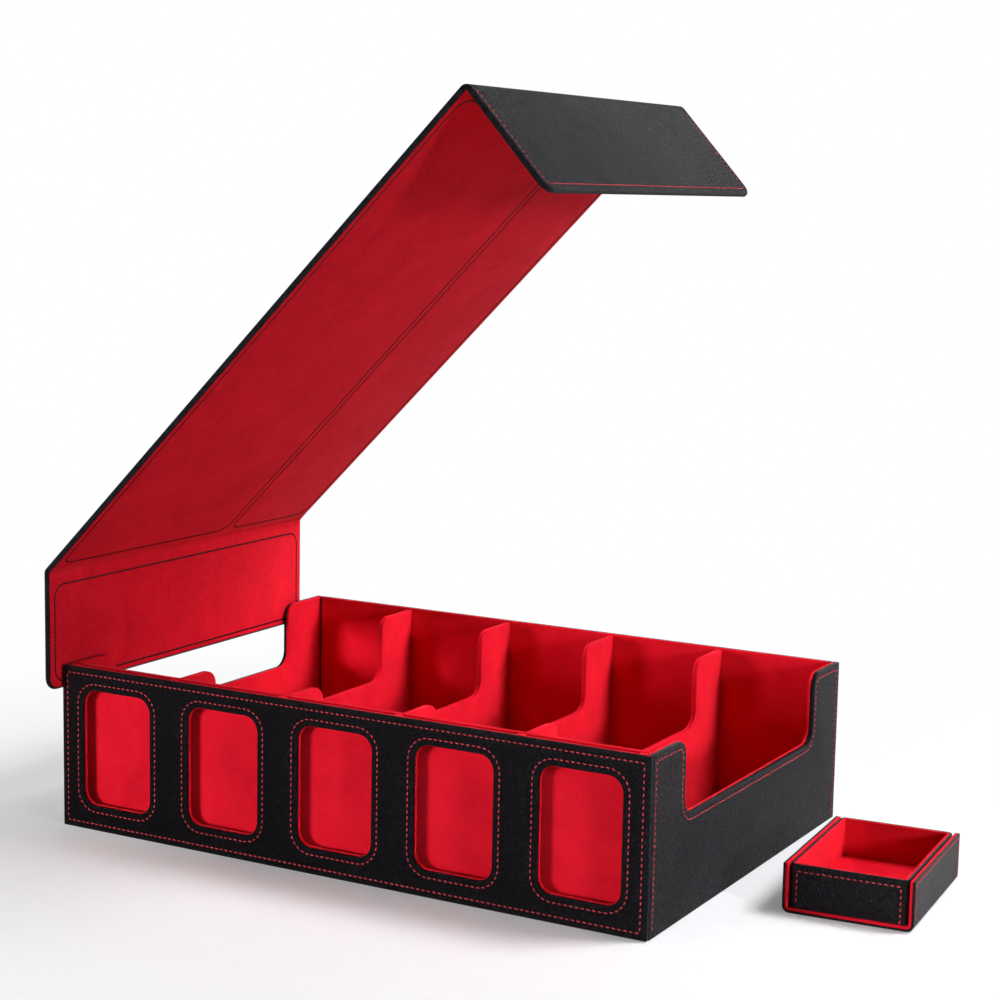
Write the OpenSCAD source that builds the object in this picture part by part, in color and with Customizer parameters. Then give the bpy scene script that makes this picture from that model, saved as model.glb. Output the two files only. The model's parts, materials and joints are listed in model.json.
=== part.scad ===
// Card deck box: a long leather-covered box with five rows for cards, five card windows in
// front, a folding cover of two flaps and a top panel, and a small tray in its own U-shaped cover.
// Millimetres, +Z up. The origin is the centre of the box's underside; the windows face -Y.

/* [Box] */
// Outside length of the box along X
box_length = 394; // [380:1:420]
// Outside depth of the box along Y
box_depth = 276; // [250:1:300]
// Outside height of the box
box_height = 100; // [96:1:110]

/* [Layers] */
// Thickness of the leather
leather_t = 0.8; // [0.6:0.1:1]
// Thickness of the red lining
lining_t = 0.8; // [0.6:0.1:1]
// Greyboard in the side and back walls
wall_board_t = 3; // [2:0.2:4]
// Greyboard in the front panel and in the pocket wall behind it
front_board_t = 1.6; // [1.2:0.2:2]
// Greyboard in the dividers
divider_board_t = 2.2; // [1.6:0.2:3]
// Greyboard in the base
base_board_t = 3; // [2:0.2:4]

/* [Rows and windows] */
// Number of card rows
row_count = 5; // [2:1:5]
// Distance from one row to the next
row_pitch = 78; // [74:1:79]
// Gap between the front panel and the pocket wall, which holds a display card
pocket_gap = 4.4; // [4.2:0.1:6]
// Width of the strips that part one pocket from the next
spacer_w = 5; // [4:0.5:8]
// Width of a window
window_w = 50; // [44:1:56]
// Height of a window
window_h = 71; // [60:1:76]
// Height of a window's lower edge above the table
window_z = 15.5; // [12:0.5:16]
// Corner radius of a window
window_r = 9; // [4:0.5:14]

/* [Hand dip] */
// Length of the full-height ear at the front of a side wall
front_ear = 45; // [30:1:60]
// Length of the full-height ear at the back of a side wall
back_ear = 43; // [30:1:60]
// Height of the dip's floor above the table
dip_z = 57.4; // [45:0.2:70]
// Radius where an ear turns down into the dip
ear_r = 9; // [6:0.5:12]
// Radius at the foot of the dip
dip_r = 10; // [6:0.5:14]

/* [Cover] */
// Depth of the cover along Y
cover_depth = 266; // [250:1:276]
// Distance between the two fold lines of the cover
top_length = 402.6; // [402.2:0.1:406]
// Length of a flap from its fold line to its free edge
flap_length = 73; // [60:1:80]
// Thickness of the cover's panels
panel_t = 3.6; // [3:0.1:4]
// Corner radius at the free edge of a flap
flap_r = 8; // [4:0.5:14]
// Half width of the leather crease between two panels
crease_half = 4.5; // [3.5:0.5:6]
// Angle of the top panel above the table as the cover stands open
top_angle = 45; // [10:1:80]
// Bend of the right flap away from the top panel
flap_bend = 92.8; // [90:0.1:92.8]
// How far the open cover stands above its closed height
cover_rise = 55.6; // [0:0.1:60]
// How far the open cover stands forward of its closed place
cover_forward = 16; // [0:1:20]
// Gap between the closed left flap and the left wall
flap_gap = 0.8; // [0.6:0.1:1.5]
// Gap between the closed top panel and the top of the box
top_gap = 0.6; // [0.5:0.1:1.5]

/* [Stitching] */
// Width of a line of stitching
thread_w = 0.8; // [0.6:0.1:1.2]
// How far a line of stitching stands proud
thread_h = 0.15; // [0.1:0.05:0.15]
// Distance of the stitching from an edge of the box
stitch_inset = 4; // [3:0.5:5]
// Distance of the stitching from an edge of the cover
cover_inset = 4.5; // [3:0.5:7]

/* [Small tray] */
// Outside width of the tray's cover
sleeve_w = 73.5; // [70:0.5:80]
// Length of the tray's cover
sleeve_l = 102; // [96:1:110]
// Height of the tray's cover
sleeve_h = 28.2; // [24:0.2:34]
// Radius at the lower corners of the tray's cover
sleeve_r = 4; // [3.2:0.2:6]
// Outside width of the tray
tray_w = 66; // [56:1:66]
// Outside length of the tray
tray_l = 101; // [88:1:101]
// Place of the tray set's middle on the table, from the box's middle
tray_x = 271.7; // [255:0.5:300]
// Turn of the tray set on the table
tray_turn = 4.2; // [-10:0.1:10]

/* [Hidden] */
$fn = 64;

LEATHER = [0.07, 0.07, 0.08];
LINING = [0.78, 0.03, 0.08];
BOARD = [0.55, 0.52, 0.47];
RED_THREAD = [0.85, 0.16, 0.2];
BLACK_THREAD = [0.05, 0.05, 0.05];
STEEL = [0.75, 0.76, 0.78];

wall_t = leather_t + wall_board_t + lining_t;
front_t = leather_t + front_board_t + lining_t;
pocket_wall_t = front_board_t + 2 * lining_t;
divider_t = divider_board_t + 2 * lining_t;
floor_z = leather_t + base_board_t + lining_t;
divider_h = box_height - 1;

front_y = -box_depth / 2;
back_y = box_depth / 2;
side_front_y = front_y + front_t;
pocket_y = side_front_y + pocket_gap;
row_front_y = pocket_y + pocket_wall_t;
row_back_y = back_y - wall_t;
side_x = box_length / 2;
inner_x = side_x - wall_t;
dip_front_y = front_y + front_ear;
dip_back_y = back_y - back_ear;

fold_x = -side_x - flap_gap - panel_t / 2;
closed_fold_z = box_height + top_gap + panel_t / 2;
fold_z = closed_fold_z + cover_rise;
edge_w = 1.2;
crease_r = 1.6;
crease_gap = 0.3;
tongue_t = 1.4;
top_seam_y = 39;
top_seam_gap = 6;

magnet_r = 5;
magnet_t = 1.2;
magnet_slack = 0.1;
magnet_y = 114;
magnet_drop = 19;

sleeve_t = 3;
sleeve_board_t = sleeve_t - leather_t - lining_t;
tray_clear = 0.3;
// Distance of the sleeve's seam from its top edges
sleeve_seam_drop = 2;
tray_r = 3.4;
tray_h = sleeve_h - sleeve_t - tray_clear;

// The middle of row i, or of divider i when offset is a half
function row_x(i) = (i - (row_count - 1) / 2) * row_pitch;

// ---- outlines ----

// A rectangle with four round corners about the origin
module rounded(w, h, r) {
  square([w - 2 * r, h], center = true);
  square([w, h - 2 * r], center = true);
  for (sx = [-1, 1], sy = [-1, 1])
    translate([sx * (w / 2 - r), sy * (h / 2 - r)]) circle(r);
}

// The space of the hand dip, drawn larger all round by inset, from above the ears to the dip's floor
module dip_space(inset) {
  y0 = dip_front_y - inset;
  y1 = dip_back_y + inset;
  z0 = dip_z - inset;
  top = box_height - inset;
  foot_r = dip_r + inset;
  shoulder_r = ear_r - inset;
  translate([y0 + foot_r, z0]) square([y1 - y0 - 2 * foot_r, box_height]);
  translate([y0, z0 + foot_r]) square([y1 - y0, box_height]);
  translate([y0 + foot_r, z0 + foot_r]) circle(foot_r);
  translate([y1 - foot_r, z0 + foot_r]) circle(foot_r);
  for (side = [-1, 1])
    translate([side < 0 ? y0 - shoulder_r : y1 + shoulder_r, top - shoulder_r]) difference() {
      translate([side < 0 ? 0 : -shoulder_r, 0]) square([shoulder_r, shoulder_r + 2 * inset + 1]);
      circle(shoulder_r);
    }
}

// The outline of a wall with a hand dip in the YZ plane, drawn smaller all round by inset
module dipped(y0, y1, z0, z1, inset) {
  difference() {
    translate([y0 + inset, z0 + inset]) square([y1 - y0 - 2 * inset, z1 - z0 - 2 * inset]);
    translate([0, z1 - box_height]) dip_space(inset);
  }
}

module side_outline(inset) {
  dipped(side_front_y, back_y, 0, box_height, inset);
}

// The windows of the front panel, drawn larger all round by grow
module windows(grow) {
  for (i = [0 : row_count - 1])
    translate([row_x(i), window_z + window_h / 2])
      rounded(window_w + 2 * grow, window_h + 2 * grow, window_r + grow);
}

module plain_outline(half_w, z0, z1, inset) {
  translate([-half_w + inset, z0 + inset]) square([2 * (half_w - inset), z1 - z0 - 2 * inset]);
}

// Stands a YZ outline up as a plate from x to x + t
module plate_x(x, t) {
  translate([x, 0, 0]) rotate([90, 0, 90]) linear_extrude(t) children();
}

// Stands an XZ outline up as a plate from y to y + t
module plate_y(y, t) {
  translate([0, y + t, 0]) rotate([90, 0, 0]) linear_extrude(t) children();
}

// ---- base ----

module base_plate(z, t) {
  translate([-inner_x, side_front_y, z]) cube([2 * inner_x, row_back_y - side_front_y, t]);
}

module base_skin() {
  color(LEATHER) base_plate(0, leather_t);
}

module base_board() {
  color(BOARD) base_plate(leather_t, base_board_t);
}

module floor_lining() {
  color(LINING) base_plate(leather_t + base_board_t, lining_t);
}

// ---- front panel with its windows ----

module front_board() {
  color(BOARD) plate_y(front_y + leather_t, front_board_t) difference() {
    plain_outline(side_x, 0, box_height, leather_t);
    windows(lining_t);
  }
}

module front_edge(inset) {
  difference() {
    plain_outline(side_x, 0, box_height, 0);
    plain_outline(side_x, 0, box_height, inset);
  }
}

module front_skin() {
  color(LEATHER) {
    plate_y(front_y, leather_t) difference() {
      plain_outline(side_x, 0, box_height, 0);
      windows(0);
    }
    plate_y(front_y + leather_t, leather_t) front_edge(leather_t);
  }
}

module front_lining() {
  color(LINING) {
    plate_y(front_y + leather_t, leather_t) difference() {
      windows(lining_t);
      windows(0);
    }
    plate_y(front_y + 2 * leather_t, front_t - 2 * leather_t) difference() {
      plain_outline(side_x, 0, box_height, 0);
      windows(0);
      difference() {
        plain_outline(side_x, 0, box_height, leather_t);
        windows(lining_t);
      }
    }
    plate_y(side_front_y - lining_t, lining_t) difference() {
      plain_outline(side_x, 0, box_height, 0);
      windows(0);
    }
  }
}

module front_stitching() {
  color(RED_THREAD) plate_y(front_y - thread_h, thread_h) {
    difference() {
      plain_outline(side_x, 0, box_height, stitch_inset - thread_w / 2);
      plain_outline(side_x, 0, box_height, stitch_inset + thread_w / 2);
    }
    difference() {
      windows(stitch_inset + thread_w / 2);
      windows(stitch_inset - thread_w / 2);
    }
  }
}

// ---- card pockets behind the front panel ----

module pocket_spacers() {
  color(LINING) {
    for (i = [0 : row_count])
      translate([max(-inner_x, min(inner_x - spacer_w, row_x(i - 0.5) - spacer_w / 2)), side_front_y, floor_z])
        cube([spacer_w, pocket_gap, box_height - floor_z]);
  }
}

module pocket_wall_board() {
  color(BOARD) plate_y(pocket_y + lining_t, front_board_t)
    plain_outline(inner_x, floor_z, box_height, lining_t);
}

module pocket_wall_lining() {
  color(LINING) difference() {
    plate_y(pocket_y, pocket_wall_t) plain_outline(inner_x, floor_z, box_height, 0);
    plate_y(pocket_y + lining_t, front_board_t) plain_outline(inner_x, floor_z, box_height, lining_t);
  }
}

// ---- side walls: side is -1 for the left one and 1 for the right one ----

// The lowest x of a layer that runs from depth a to depth b, counted from the outer face inwards
function layer_x(side, a, b) = side < 0 ? -side_x + a : side_x - b;

module wall_pockets(side, slack) {
  for (y = [-magnet_y, magnet_y])
    translate([side * (side_x - leather_t - wall_board_t / 2), y, closed_fold_z - magnet_drop])
      rotate([0, 90, 0]) cylinder(r = magnet_r + slack, h = magnet_t + 2 * slack, center = true);
}

module side_board(side) {
  color(BOARD) difference() {
    plate_x(layer_x(side, leather_t, wall_t - lining_t), wall_board_t) side_outline(leather_t);
    wall_pockets(side, magnet_slack);
  }
}

module side_half(side, a, b) {
  difference() {
    plate_x(layer_x(side, a, b), b - a) side_outline(0);
    plate_x(layer_x(side, leather_t, wall_t - lining_t), wall_board_t) side_outline(leather_t);
  }
}

module side_skin(side) {
  color(LEATHER) side_half(side, 0, wall_t / 2);
}

module side_lining(side) {
  color(LINING) side_half(side, wall_t / 2, wall_t);
}

// The seam's outline runs on below the foot of the wall, which is left unsewn
module side_seam(inset) {
  dipped(side_front_y, back_y, -2 * stitch_inset, box_height, inset);
}

module side_stitching(side) {
  color(RED_THREAD) plate_x(side < 0 ? -side_x - thread_h : side_x, thread_h) intersection() {
    translate([side_front_y, 0]) square([back_y - side_front_y, box_height]);
    difference() {
      side_seam(stitch_inset - thread_w / 2);
      side_seam(stitch_inset + thread_w / 2);
    }
  }
}

module side_magnets(side) {
  color(STEEL) wall_pockets(side, 0);
}

// ---- back wall ----

module back_board() {
  color(BOARD) plate_y(row_back_y + lining_t, wall_board_t)
    plain_outline(inner_x, 0, box_height, leather_t);
}

module back_half(y0, y1) {
  difference() {
    plate_y(y0, y1 - y0) plain_outline(inner_x, 0, box_height, 0);
    plate_y(row_back_y + lining_t, wall_board_t) plain_outline(inner_x, 0, box_height, leather_t);
  }
}

module back_skin() {
  color(LEATHER) back_half(back_y - wall_t / 2, back_y);
}

module back_lining() {
  color(LINING) back_half(row_back_y, back_y - wall_t / 2);
}

module back_stitching() {
  color(RED_THREAD) plate_y(back_y, thread_h) difference() {
    plain_outline(inner_x, 0, box_height, stitch_inset - thread_w / 2);
    plain_outline(inner_x, 0, box_height, stitch_inset + thread_w / 2);
  }
}

// ---- dividers ----

module divider_core(i) {
  plate_x(row_x(i - 0.5) - divider_board_t / 2, divider_board_t)
    dipped(row_front_y, row_back_y, floor_z, divider_h, lining_t);
}

module divider(i) {
  color(LINING) difference() {
    plate_x(row_x(i - 0.5) - divider_t / 2, divider_t)
      dipped(row_front_y, row_back_y, floor_z, divider_h, 0);
    divider_core(i);
  }
}

module divider_boards() {
  color(BOARD) for (i = [1 : row_count - 1]) divider_core(i);
}

// ---- cover: each panel lies along +X from its fold line, with its leather on +Z ----

// Outline of a panel from x0 to x1, with the corners at x1 rounded when r is above zero
module panel_outline(x0, x1, r, inset) {
  w = cover_depth - 2 * inset;
  far = x1 - inset;
  if (r > 0) {
    c = r - inset;
    translate([x0 + inset, -w / 2]) square([far - c - x0 - inset, w]);
    translate([x0 + inset, -w / 2 + c]) square([far - x0 - inset, w - 2 * c]);
    for (s = [-1, 1]) translate([far - c, s * (w / 2 - c)]) circle(c);
  } else {
    translate([x0 + inset, -w / 2]) square([far - x0 - inset, w]);
  }
}

module layer(z0, z1) {
  translate([0, 0, z0]) linear_extrude(z1 - z0) children();
}

// The thin leather that runs on from a panel's edge at x to the crease
module tongue(x, way) {
  reach = crease_half - crease_r - crease_gap;
  translate([way > 0 ? x : x - reach, -cover_depth / 2, -tongue_t / 2])
    cube([reach, cover_depth, tongue_t]);
}

module panel_skin(x0, x1, r) {
  color(LEATHER) {
    difference() {
      layer(-panel_t / 2, panel_t / 2) panel_outline(x0, x1, r, 0);
      layer(-panel_t / 2 - 1, panel_t / 2 - leather_t) panel_outline(x0, x1, r, edge_w);
    }
    tongue(x0, -1);
    if (r == 0) tongue(x1, 1);
  }
}

module flap_pockets(slack) {
  for (y = [-magnet_y, magnet_y])
    translate([magnet_drop, y, 0]) cylinder(r = magnet_r + slack, h = magnet_t + 2 * slack, center = true);
}

module panel_board(x0, x1, r) {
  color(BOARD) difference() {
    layer(-panel_t / 2 + lining_t, panel_t / 2 - leather_t) panel_outline(x0, x1, r, edge_w);
    if (r > 0) flap_pockets(magnet_slack);
  }
}

module panel_lining(x0, x1, r) {
  color(LINING) layer(-panel_t / 2, -panel_t / 2 + lining_t) panel_outline(x0, x1, r, edge_w);
}

// A line of stitching along a panel's free edges; it runs on to its folds, which are left unsewn
module panel_skin_stitching(x0, x1, r) {
  run_on = 2 * cover_inset;
  end = r > 0 ? x1 : x1 + run_on;
  color(RED_THREAD) layer(panel_t / 2, panel_t / 2 + thread_h) intersection() {
    translate([x0, -cover_depth / 2]) square([x1 - x0, cover_depth]);
    difference() {
      panel_outline(x0 - run_on, end, r, cover_inset - thread_w / 2);
      panel_outline(x0 - run_on, end, r, cover_inset + thread_w / 2);
    }
  }
}

// A round-cornered line of black stitching about a field of the lining
module field_ring(x0, x1, y0, y1) {
  translate([(x0 + x1) / 2, (y0 + y1) / 2]) difference() {
    rounded(x1 - x0 + thread_w, y1 - y0 + thread_w, flap_r + thread_w / 2);
    rounded(x1 - x0 - thread_w, y1 - y0 - thread_w, flap_r - thread_w / 2);
  }
}

module lining_stitching(x0, x1, fields) {
  color(BLACK_THREAD) layer(-panel_t / 2 - thread_h, -panel_t / 2)
    for (f = fields) field_ring(x0 + cover_inset, x1 - cover_inset, f[0], f[1]);
}

field_y = cover_depth / 2 - cover_inset - edge_w;

module flap(part) {
  x1 = flap_length;
  if (part == "skin") panel_skin(crease_half, x1, flap_r);
  if (part == "board") panel_board(crease_half, x1, flap_r);
  if (part == "lining") panel_lining(crease_half, x1, flap_r);
  if (part == "skin_stitching") panel_skin_stitching(crease_half, x1, flap_r);
  if (part == "lining_stitching") lining_stitching(crease_half, x1, [[-field_y, field_y]]);
  if (part == "magnets") color(STEEL) flap_pockets(0);
}

module crease() {
  color(LEATHER) rotate([90, 0, 0]) cylinder(r = crease_r, h = cover_depth, center = true);
}

// Puts what is drawn about the left fold line in its place on the open cover
module at_left_fold() {
  translate([fold_x, -cover_forward, fold_z]) children();
}

module left_flap(part) {
  at_left_fold() rotate([0, 90, 0]) mirror([0, 0, 1]) flap(part);
}

module top(part) {
  x0 = crease_half;
  x1 = top_length - crease_half;
  at_left_fold() rotate([0, -top_angle, 0]) {
    if (part == "skin") panel_skin(x0, x1, 0);
    if (part == "board") panel_board(x0, x1, 0);
    if (part == "lining") panel_lining(x0, x1, 0);
    if (part == "skin_stitching") panel_skin_stitching(x0, x1, 0);
    if (part == "lining_stitching")
      lining_stitching(x0, x1, [[-field_y, top_seam_y - top_seam_gap / 2],
                                [top_seam_y + top_seam_gap / 2, field_y]]);
    if (part == "left_crease") crease();
    if (part == "right_crease") translate([top_length, 0, 0]) crease();
  }
}

module right_flap(part) {
  at_left_fold() rotate([0, -top_angle, 0]) translate([top_length, 0, 0])
    rotate([0, flap_bend, 0]) flap(part);
}

// ---- small tray and its U-shaped cover, about their own middle ----

module on_table() {
  translate([tray_x, 0, 0]) rotate([0, 0, tray_turn]) children();
}

// The outside of the U at a depth of inset from its outer face, open upwards to z = top
module u_block(inset, top) {
  w = sleeve_w - 2 * inset;
  r = sleeve_r - inset;
  translate([-w / 2, inset + r]) square([w, top - inset - r]);
  translate([-w / 2 + r, inset]) square([w - 2 * r, r + 1]);
  for (s = [-1, 1]) translate([s * (w / 2 - r), inset + r]) circle(r);
}

module along_sleeve(length) {
  translate([0, length / 2, 0]) rotate([90, 0, 0]) linear_extrude(length) children();
}

module sleeve_core() {
  along_sleeve(sleeve_l - 2 * lining_t) difference() {
    u_block(leather_t, sleeve_h - lining_t);
    u_block(leather_t + sleeve_board_t, sleeve_h + 1);
  }
}

module sleeve_board() {
  color(BOARD) on_table() sleeve_core();
}

module sleeve_skin() {
  color(LEATHER) on_table() along_sleeve(sleeve_l) difference() {
    u_block(0, sleeve_h);
    u_block(leather_t, sleeve_h + 1);
  }
}

module sleeve_lining() {
  color(LINING) on_table() difference() {
    along_sleeve(sleeve_l) difference() {
      u_block(leather_t, sleeve_h);
      u_block(sleeve_t, sleeve_h + 1);
    }
    sleeve_core();
  }
}

module sleeve_stitching() {
  w = sleeve_l - 2 * stitch_inset;
  h = sleeve_h - sleeve_seam_drop - sleeve_r;
  color(RED_THREAD) on_table() for (s = [-1, 1])
    translate([s > 0 ? sleeve_w / 2 : -sleeve_w / 2 - thread_h, 0, sleeve_r])
      rotate([90, 0, 90]) linear_extrude(thread_h) difference() {
        translate([-(w + thread_w) / 2, 0]) square([w + thread_w, h + thread_w / 2]);
        translate([-(w - thread_w) / 2, -1]) square([w - thread_w, h - thread_w / 2 + 1]);
      }
}

module in_sleeve() {
  on_table() translate([0, 0, sleeve_t + tray_clear]) children();
}

module tray_block(inset, z0, z1) {
  translate([0, 0, z0]) linear_extrude(z1 - z0)
    rounded(tray_w - 2 * inset, tray_l - 2 * inset, tray_r - inset);
}

module tray_core() {
  difference() {
    tray_block(leather_t, leather_t, tray_h - leather_t);
    tray_block(sleeve_t - lining_t, sleeve_t - lining_t, tray_h);
  }
}

module tray_board() {
  color(BOARD) in_sleeve() tray_core();
}

module tray_skin() {
  color(LEATHER) in_sleeve() difference() {
    tray_block(0, 0, tray_h);
    tray_block(leather_t, leather_t, tray_h - leather_t);
    tray_block(sleeve_t / 2, tray_h - leather_t - 1, tray_h + 1);
  }
}

module tray_lining() {
  color(LINING) in_sleeve() difference() {
    union() {
      tray_block(sleeve_t - lining_t, sleeve_t - lining_t, tray_h);
      tray_block(sleeve_t / 2, tray_h - leather_t, tray_h);
    }
    tray_block(sleeve_t, sleeve_t, tray_h + 1);
    tray_core();
  }
}

module tray_stitching() {
  w = tray_w - 2 * stitch_inset;
  h = tray_h - 2 * stitch_inset;
  color(RED_THREAD) in_sleeve() for (s = [-1, 1])
    translate([0, s > 0 ? tray_l / 2 + thread_h : -tray_l / 2, tray_h / 2])
      rotate([90, 0, 0]) linear_extrude(thread_h) difference() {
        square([w + thread_w, h + thread_w], center = true);
        square([w - thread_w, h - thread_w], center = true);
      }
}

// ---- the nodes ----

base_board();
base_skin();
floor_lining();
front_skin();
front_board();
front_lining();
front_stitching();
pocket_spacers();
pocket_wall_board();
pocket_wall_lining();
side_skin(-1);  // left_wall_skin
side_board(-1);  // left_wall_board
side_lining(-1);  // left_wall_lining
side_stitching(-1);  // left_wall_stitching
side_magnets(-1);  // left_wall_magnets
side_skin(1);  // right_wall_skin
side_board(1);  // right_wall_board
side_lining(1);  // right_wall_lining
side_stitching(1);  // right_wall_stitching
side_magnets(1);  // right_wall_magnets
back_skin();  // back_wall_skin
back_board();  // back_wall_board
back_lining();  // back_wall_lining
back_stitching();  // back_wall_stitching
divider(1);  // divider_1
divider(2);  // divider_2
divider(3);  // divider_3
divider(4);  // divider_4
divider_boards();
left_flap("skin");  // left_flap_skin
left_flap("board");  // left_flap_board
left_flap("lining");  // left_flap_lining
left_flap("skin_stitching");  // left_flap_skin_stitching
left_flap("lining_stitching");  // left_flap_lining_stitching
left_flap("magnets");  // left_flap_magnets
top("left_crease");  // left_crease
top("skin");  // top_skin
top("board");  // top_board
top("lining");  // top_lining
top("skin_stitching");  // top_skin_stitching
top("lining_stitching");  // top_lining_stitching
top("right_crease");  // right_crease
right_flap("skin");  // right_flap_skin
right_flap("board");  // right_flap_board
right_flap("lining");  // right_flap_lining
right_flap("skin_stitching");  // right_flap_skin_stitching
right_flap("lining_stitching");  // right_flap_lining_stitching
right_flap("magnets");  // right_flap_magnets
sleeve_skin();
sleeve_board();
sleeve_lining();
sleeve_stitching();
tray_skin();
tray_board();
tray_lining();
tray_stitching();
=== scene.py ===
"""Looks of the card deck box: leather, suede lining, stitching, cover, rows and the small tray.

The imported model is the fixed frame. Every visible skin is modelled here in metres, in that frame:
flat pieces are cut out in their own XY plane with the outside facing +Z, and then laid in place.
"""

import json
import logging
import math
from contextlib import contextmanager
from dataclasses import dataclass, field, replace
from enum import Enum
from typing import Callable, Iterator, Optional, Sequence

import bmesh
import bpy
from mathutils import Matrix, Vector


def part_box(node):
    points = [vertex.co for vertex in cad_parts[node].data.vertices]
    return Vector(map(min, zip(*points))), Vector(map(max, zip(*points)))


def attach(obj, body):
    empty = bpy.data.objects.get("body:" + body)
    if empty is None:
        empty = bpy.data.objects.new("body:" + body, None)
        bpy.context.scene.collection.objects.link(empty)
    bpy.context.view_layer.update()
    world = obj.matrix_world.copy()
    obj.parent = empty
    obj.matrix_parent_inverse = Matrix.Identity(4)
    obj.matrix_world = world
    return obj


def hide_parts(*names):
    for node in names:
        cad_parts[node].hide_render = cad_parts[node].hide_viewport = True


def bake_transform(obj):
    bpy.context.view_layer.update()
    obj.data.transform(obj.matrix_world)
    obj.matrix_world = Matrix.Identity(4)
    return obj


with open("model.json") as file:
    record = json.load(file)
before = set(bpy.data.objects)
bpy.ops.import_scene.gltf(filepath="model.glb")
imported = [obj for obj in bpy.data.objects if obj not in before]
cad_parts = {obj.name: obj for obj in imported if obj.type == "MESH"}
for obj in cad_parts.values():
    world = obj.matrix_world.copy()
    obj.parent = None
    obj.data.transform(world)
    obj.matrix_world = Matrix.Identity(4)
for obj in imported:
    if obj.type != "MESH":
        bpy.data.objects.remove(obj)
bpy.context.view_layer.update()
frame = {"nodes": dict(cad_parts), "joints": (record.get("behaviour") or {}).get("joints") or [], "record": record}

logging.basicConfig(level=logging.INFO, format="%(message)s")
LOG = logging.getLogger("card_deck_box")

MM = 0.001
LINING_T = 0.8 * MM
LINING_PROUD = 0.12 * MM
STITCH_INSET = 4.0 * MM
SEAM_CORNER = 1.5 * MM
DIP_FROM_FRONT = 45.0 * MM
DIP_FROM_BACK = 43.0 * MM
DIP_FLOOR = 57.4 * MM
COVER_INSET = 4.5 * MM
COVER_T = 3.6 * MM
COVER_RIM = 1.5 * MM
COVER_BORDER = 1.2 * MM
FLAT_TOL = 0.02 * MM
RIM_ANGLE = math.radians(50)
FACES_UP = 0.9
STANDS = 0.1
UP = Vector((0, 0, 1))
RIGHT = Vector((1, 0, 0))
BACKWARD = Vector((0, 1, 0))

Object = bpy.types.Object
Material = bpy.types.Material
Node = bpy.types.Node
Socket = bpy.types.NodeSocket
NodeTree = bpy.types.NodeTree


# ---- Modelling operators, used as by hand ----


def deselect() -> None:
    """Leaves nothing selected."""
    if bpy.context.object is not None and bpy.context.object.mode != "OBJECT":
        bpy.ops.object.mode_set(mode="OBJECT")
    bpy.ops.object.select_all(action="DESELECT")


def activate(obj: Object) -> None:
    """Selects one object alone and makes it the active one."""
    deselect()
    obj.select_set(True)
    bpy.context.view_layer.objects.active = obj


@contextmanager
def editing(obj: Object, mode: str = "FACE") -> Iterator[None]:
    """Edit mode on one object, with nothing selected in its mesh.

    Args:
        obj: the object to edit.
        mode: VERT, EDGE or FACE.
    """
    activate(obj)
    bpy.ops.object.mode_set(mode="EDIT")
    bpy.ops.mesh.select_mode(type=mode)
    bpy.ops.mesh.select_all(action="DESELECT")
    try:
        yield
    finally:
        bpy.ops.object.mode_set(mode="OBJECT")


def pick(obj: Object, kind: str, test: Callable) -> int:
    """Selects the verts, edges or faces that pass a test, and nothing else.

    Args:
        obj: the object in edit mode.
        kind: "verts", "edges" or "faces".
        test: takes one bmesh element and says whether it is wanted.

    Returns:
        How many were selected.
    """
    mesh = bmesh.from_edit_mesh(obj.data)
    for element in (*mesh.verts, *mesh.edges, *mesh.faces):
        element.select_set(False)
    wanted = [element for element in getattr(mesh, kind) if test(element)]
    for element in wanted:
        element.select_set(True)
    bmesh.update_edit_mesh(obj.data)
    return len(wanted)


def apply_place(obj: Object) -> Object:
    """Moves the object's place, turn and size into its mesh."""
    activate(obj)
    bpy.ops.object.transform_apply(location=True, rotation=True, scale=True)
    return obj


def apply_modifiers(obj: Object) -> None:
    """Applies every modifier in order."""
    activate(obj)
    for modifier in list(obj.modifiers):
        bpy.ops.object.modifier_apply(modifier=modifier.name)


def smooth(obj: Object, degrees: float = 40.0) -> Object:
    """Shades smooth, with edges sharper than the angle kept crisp."""
    activate(obj)
    bpy.ops.object.shade_smooth_by_angle(angle=math.radians(degrees))
    return obj


def face_outwards() -> None:
    """Turns the faces of the mesh in edit mode to one side, which is the outside of a closed one."""
    bpy.ops.mesh.select_all(action="SELECT")
    bpy.ops.mesh.normals_make_consistent(inside=False)


def extrude(step: Vector) -> None:
    """Extrudes what is selected in edit mode by one step."""
    bpy.ops.mesh.extrude_region_move(TRANSFORM_OT_translate={"value": tuple(step)})


def give_ply(obj: Object, thickness: float, offset: float) -> None:
    """Adds a thickness to a sheet: offset 0 puts it on both sides, -1 or 1 on one."""
    ply = obj.modifiers.new("ply", "SOLIDIFY")
    ply.thickness = thickness
    ply.offset = offset
    ply.use_even_offset = True


def soften(obj: Object, width: float) -> None:
    """Rounds every sharp edge of an object, and applies its modifiers."""
    soft = obj.modifiers.new("rim", "BEVEL")
    soft.width = width
    soft.segments = 3
    soft.limit_method = "ANGLE"
    soft.angle_limit = RIM_ANGLE
    apply_modifiers(obj)


def remove(obj: Object) -> None:
    """Deletes a construction object."""
    bpy.data.objects.remove(obj, do_unlink=True)


def join(parts: Sequence[Object], name: str) -> Object:
    """Joins objects into the first one and names it."""
    deselect()
    for part in parts:
        part.select_set(True)
    bpy.context.view_layer.objects.active = parts[0]
    if len(parts) > 1:
        bpy.ops.object.join()
    parts[0].name = name
    return parts[0]


# ---- Flat outlines and plates ----


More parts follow.
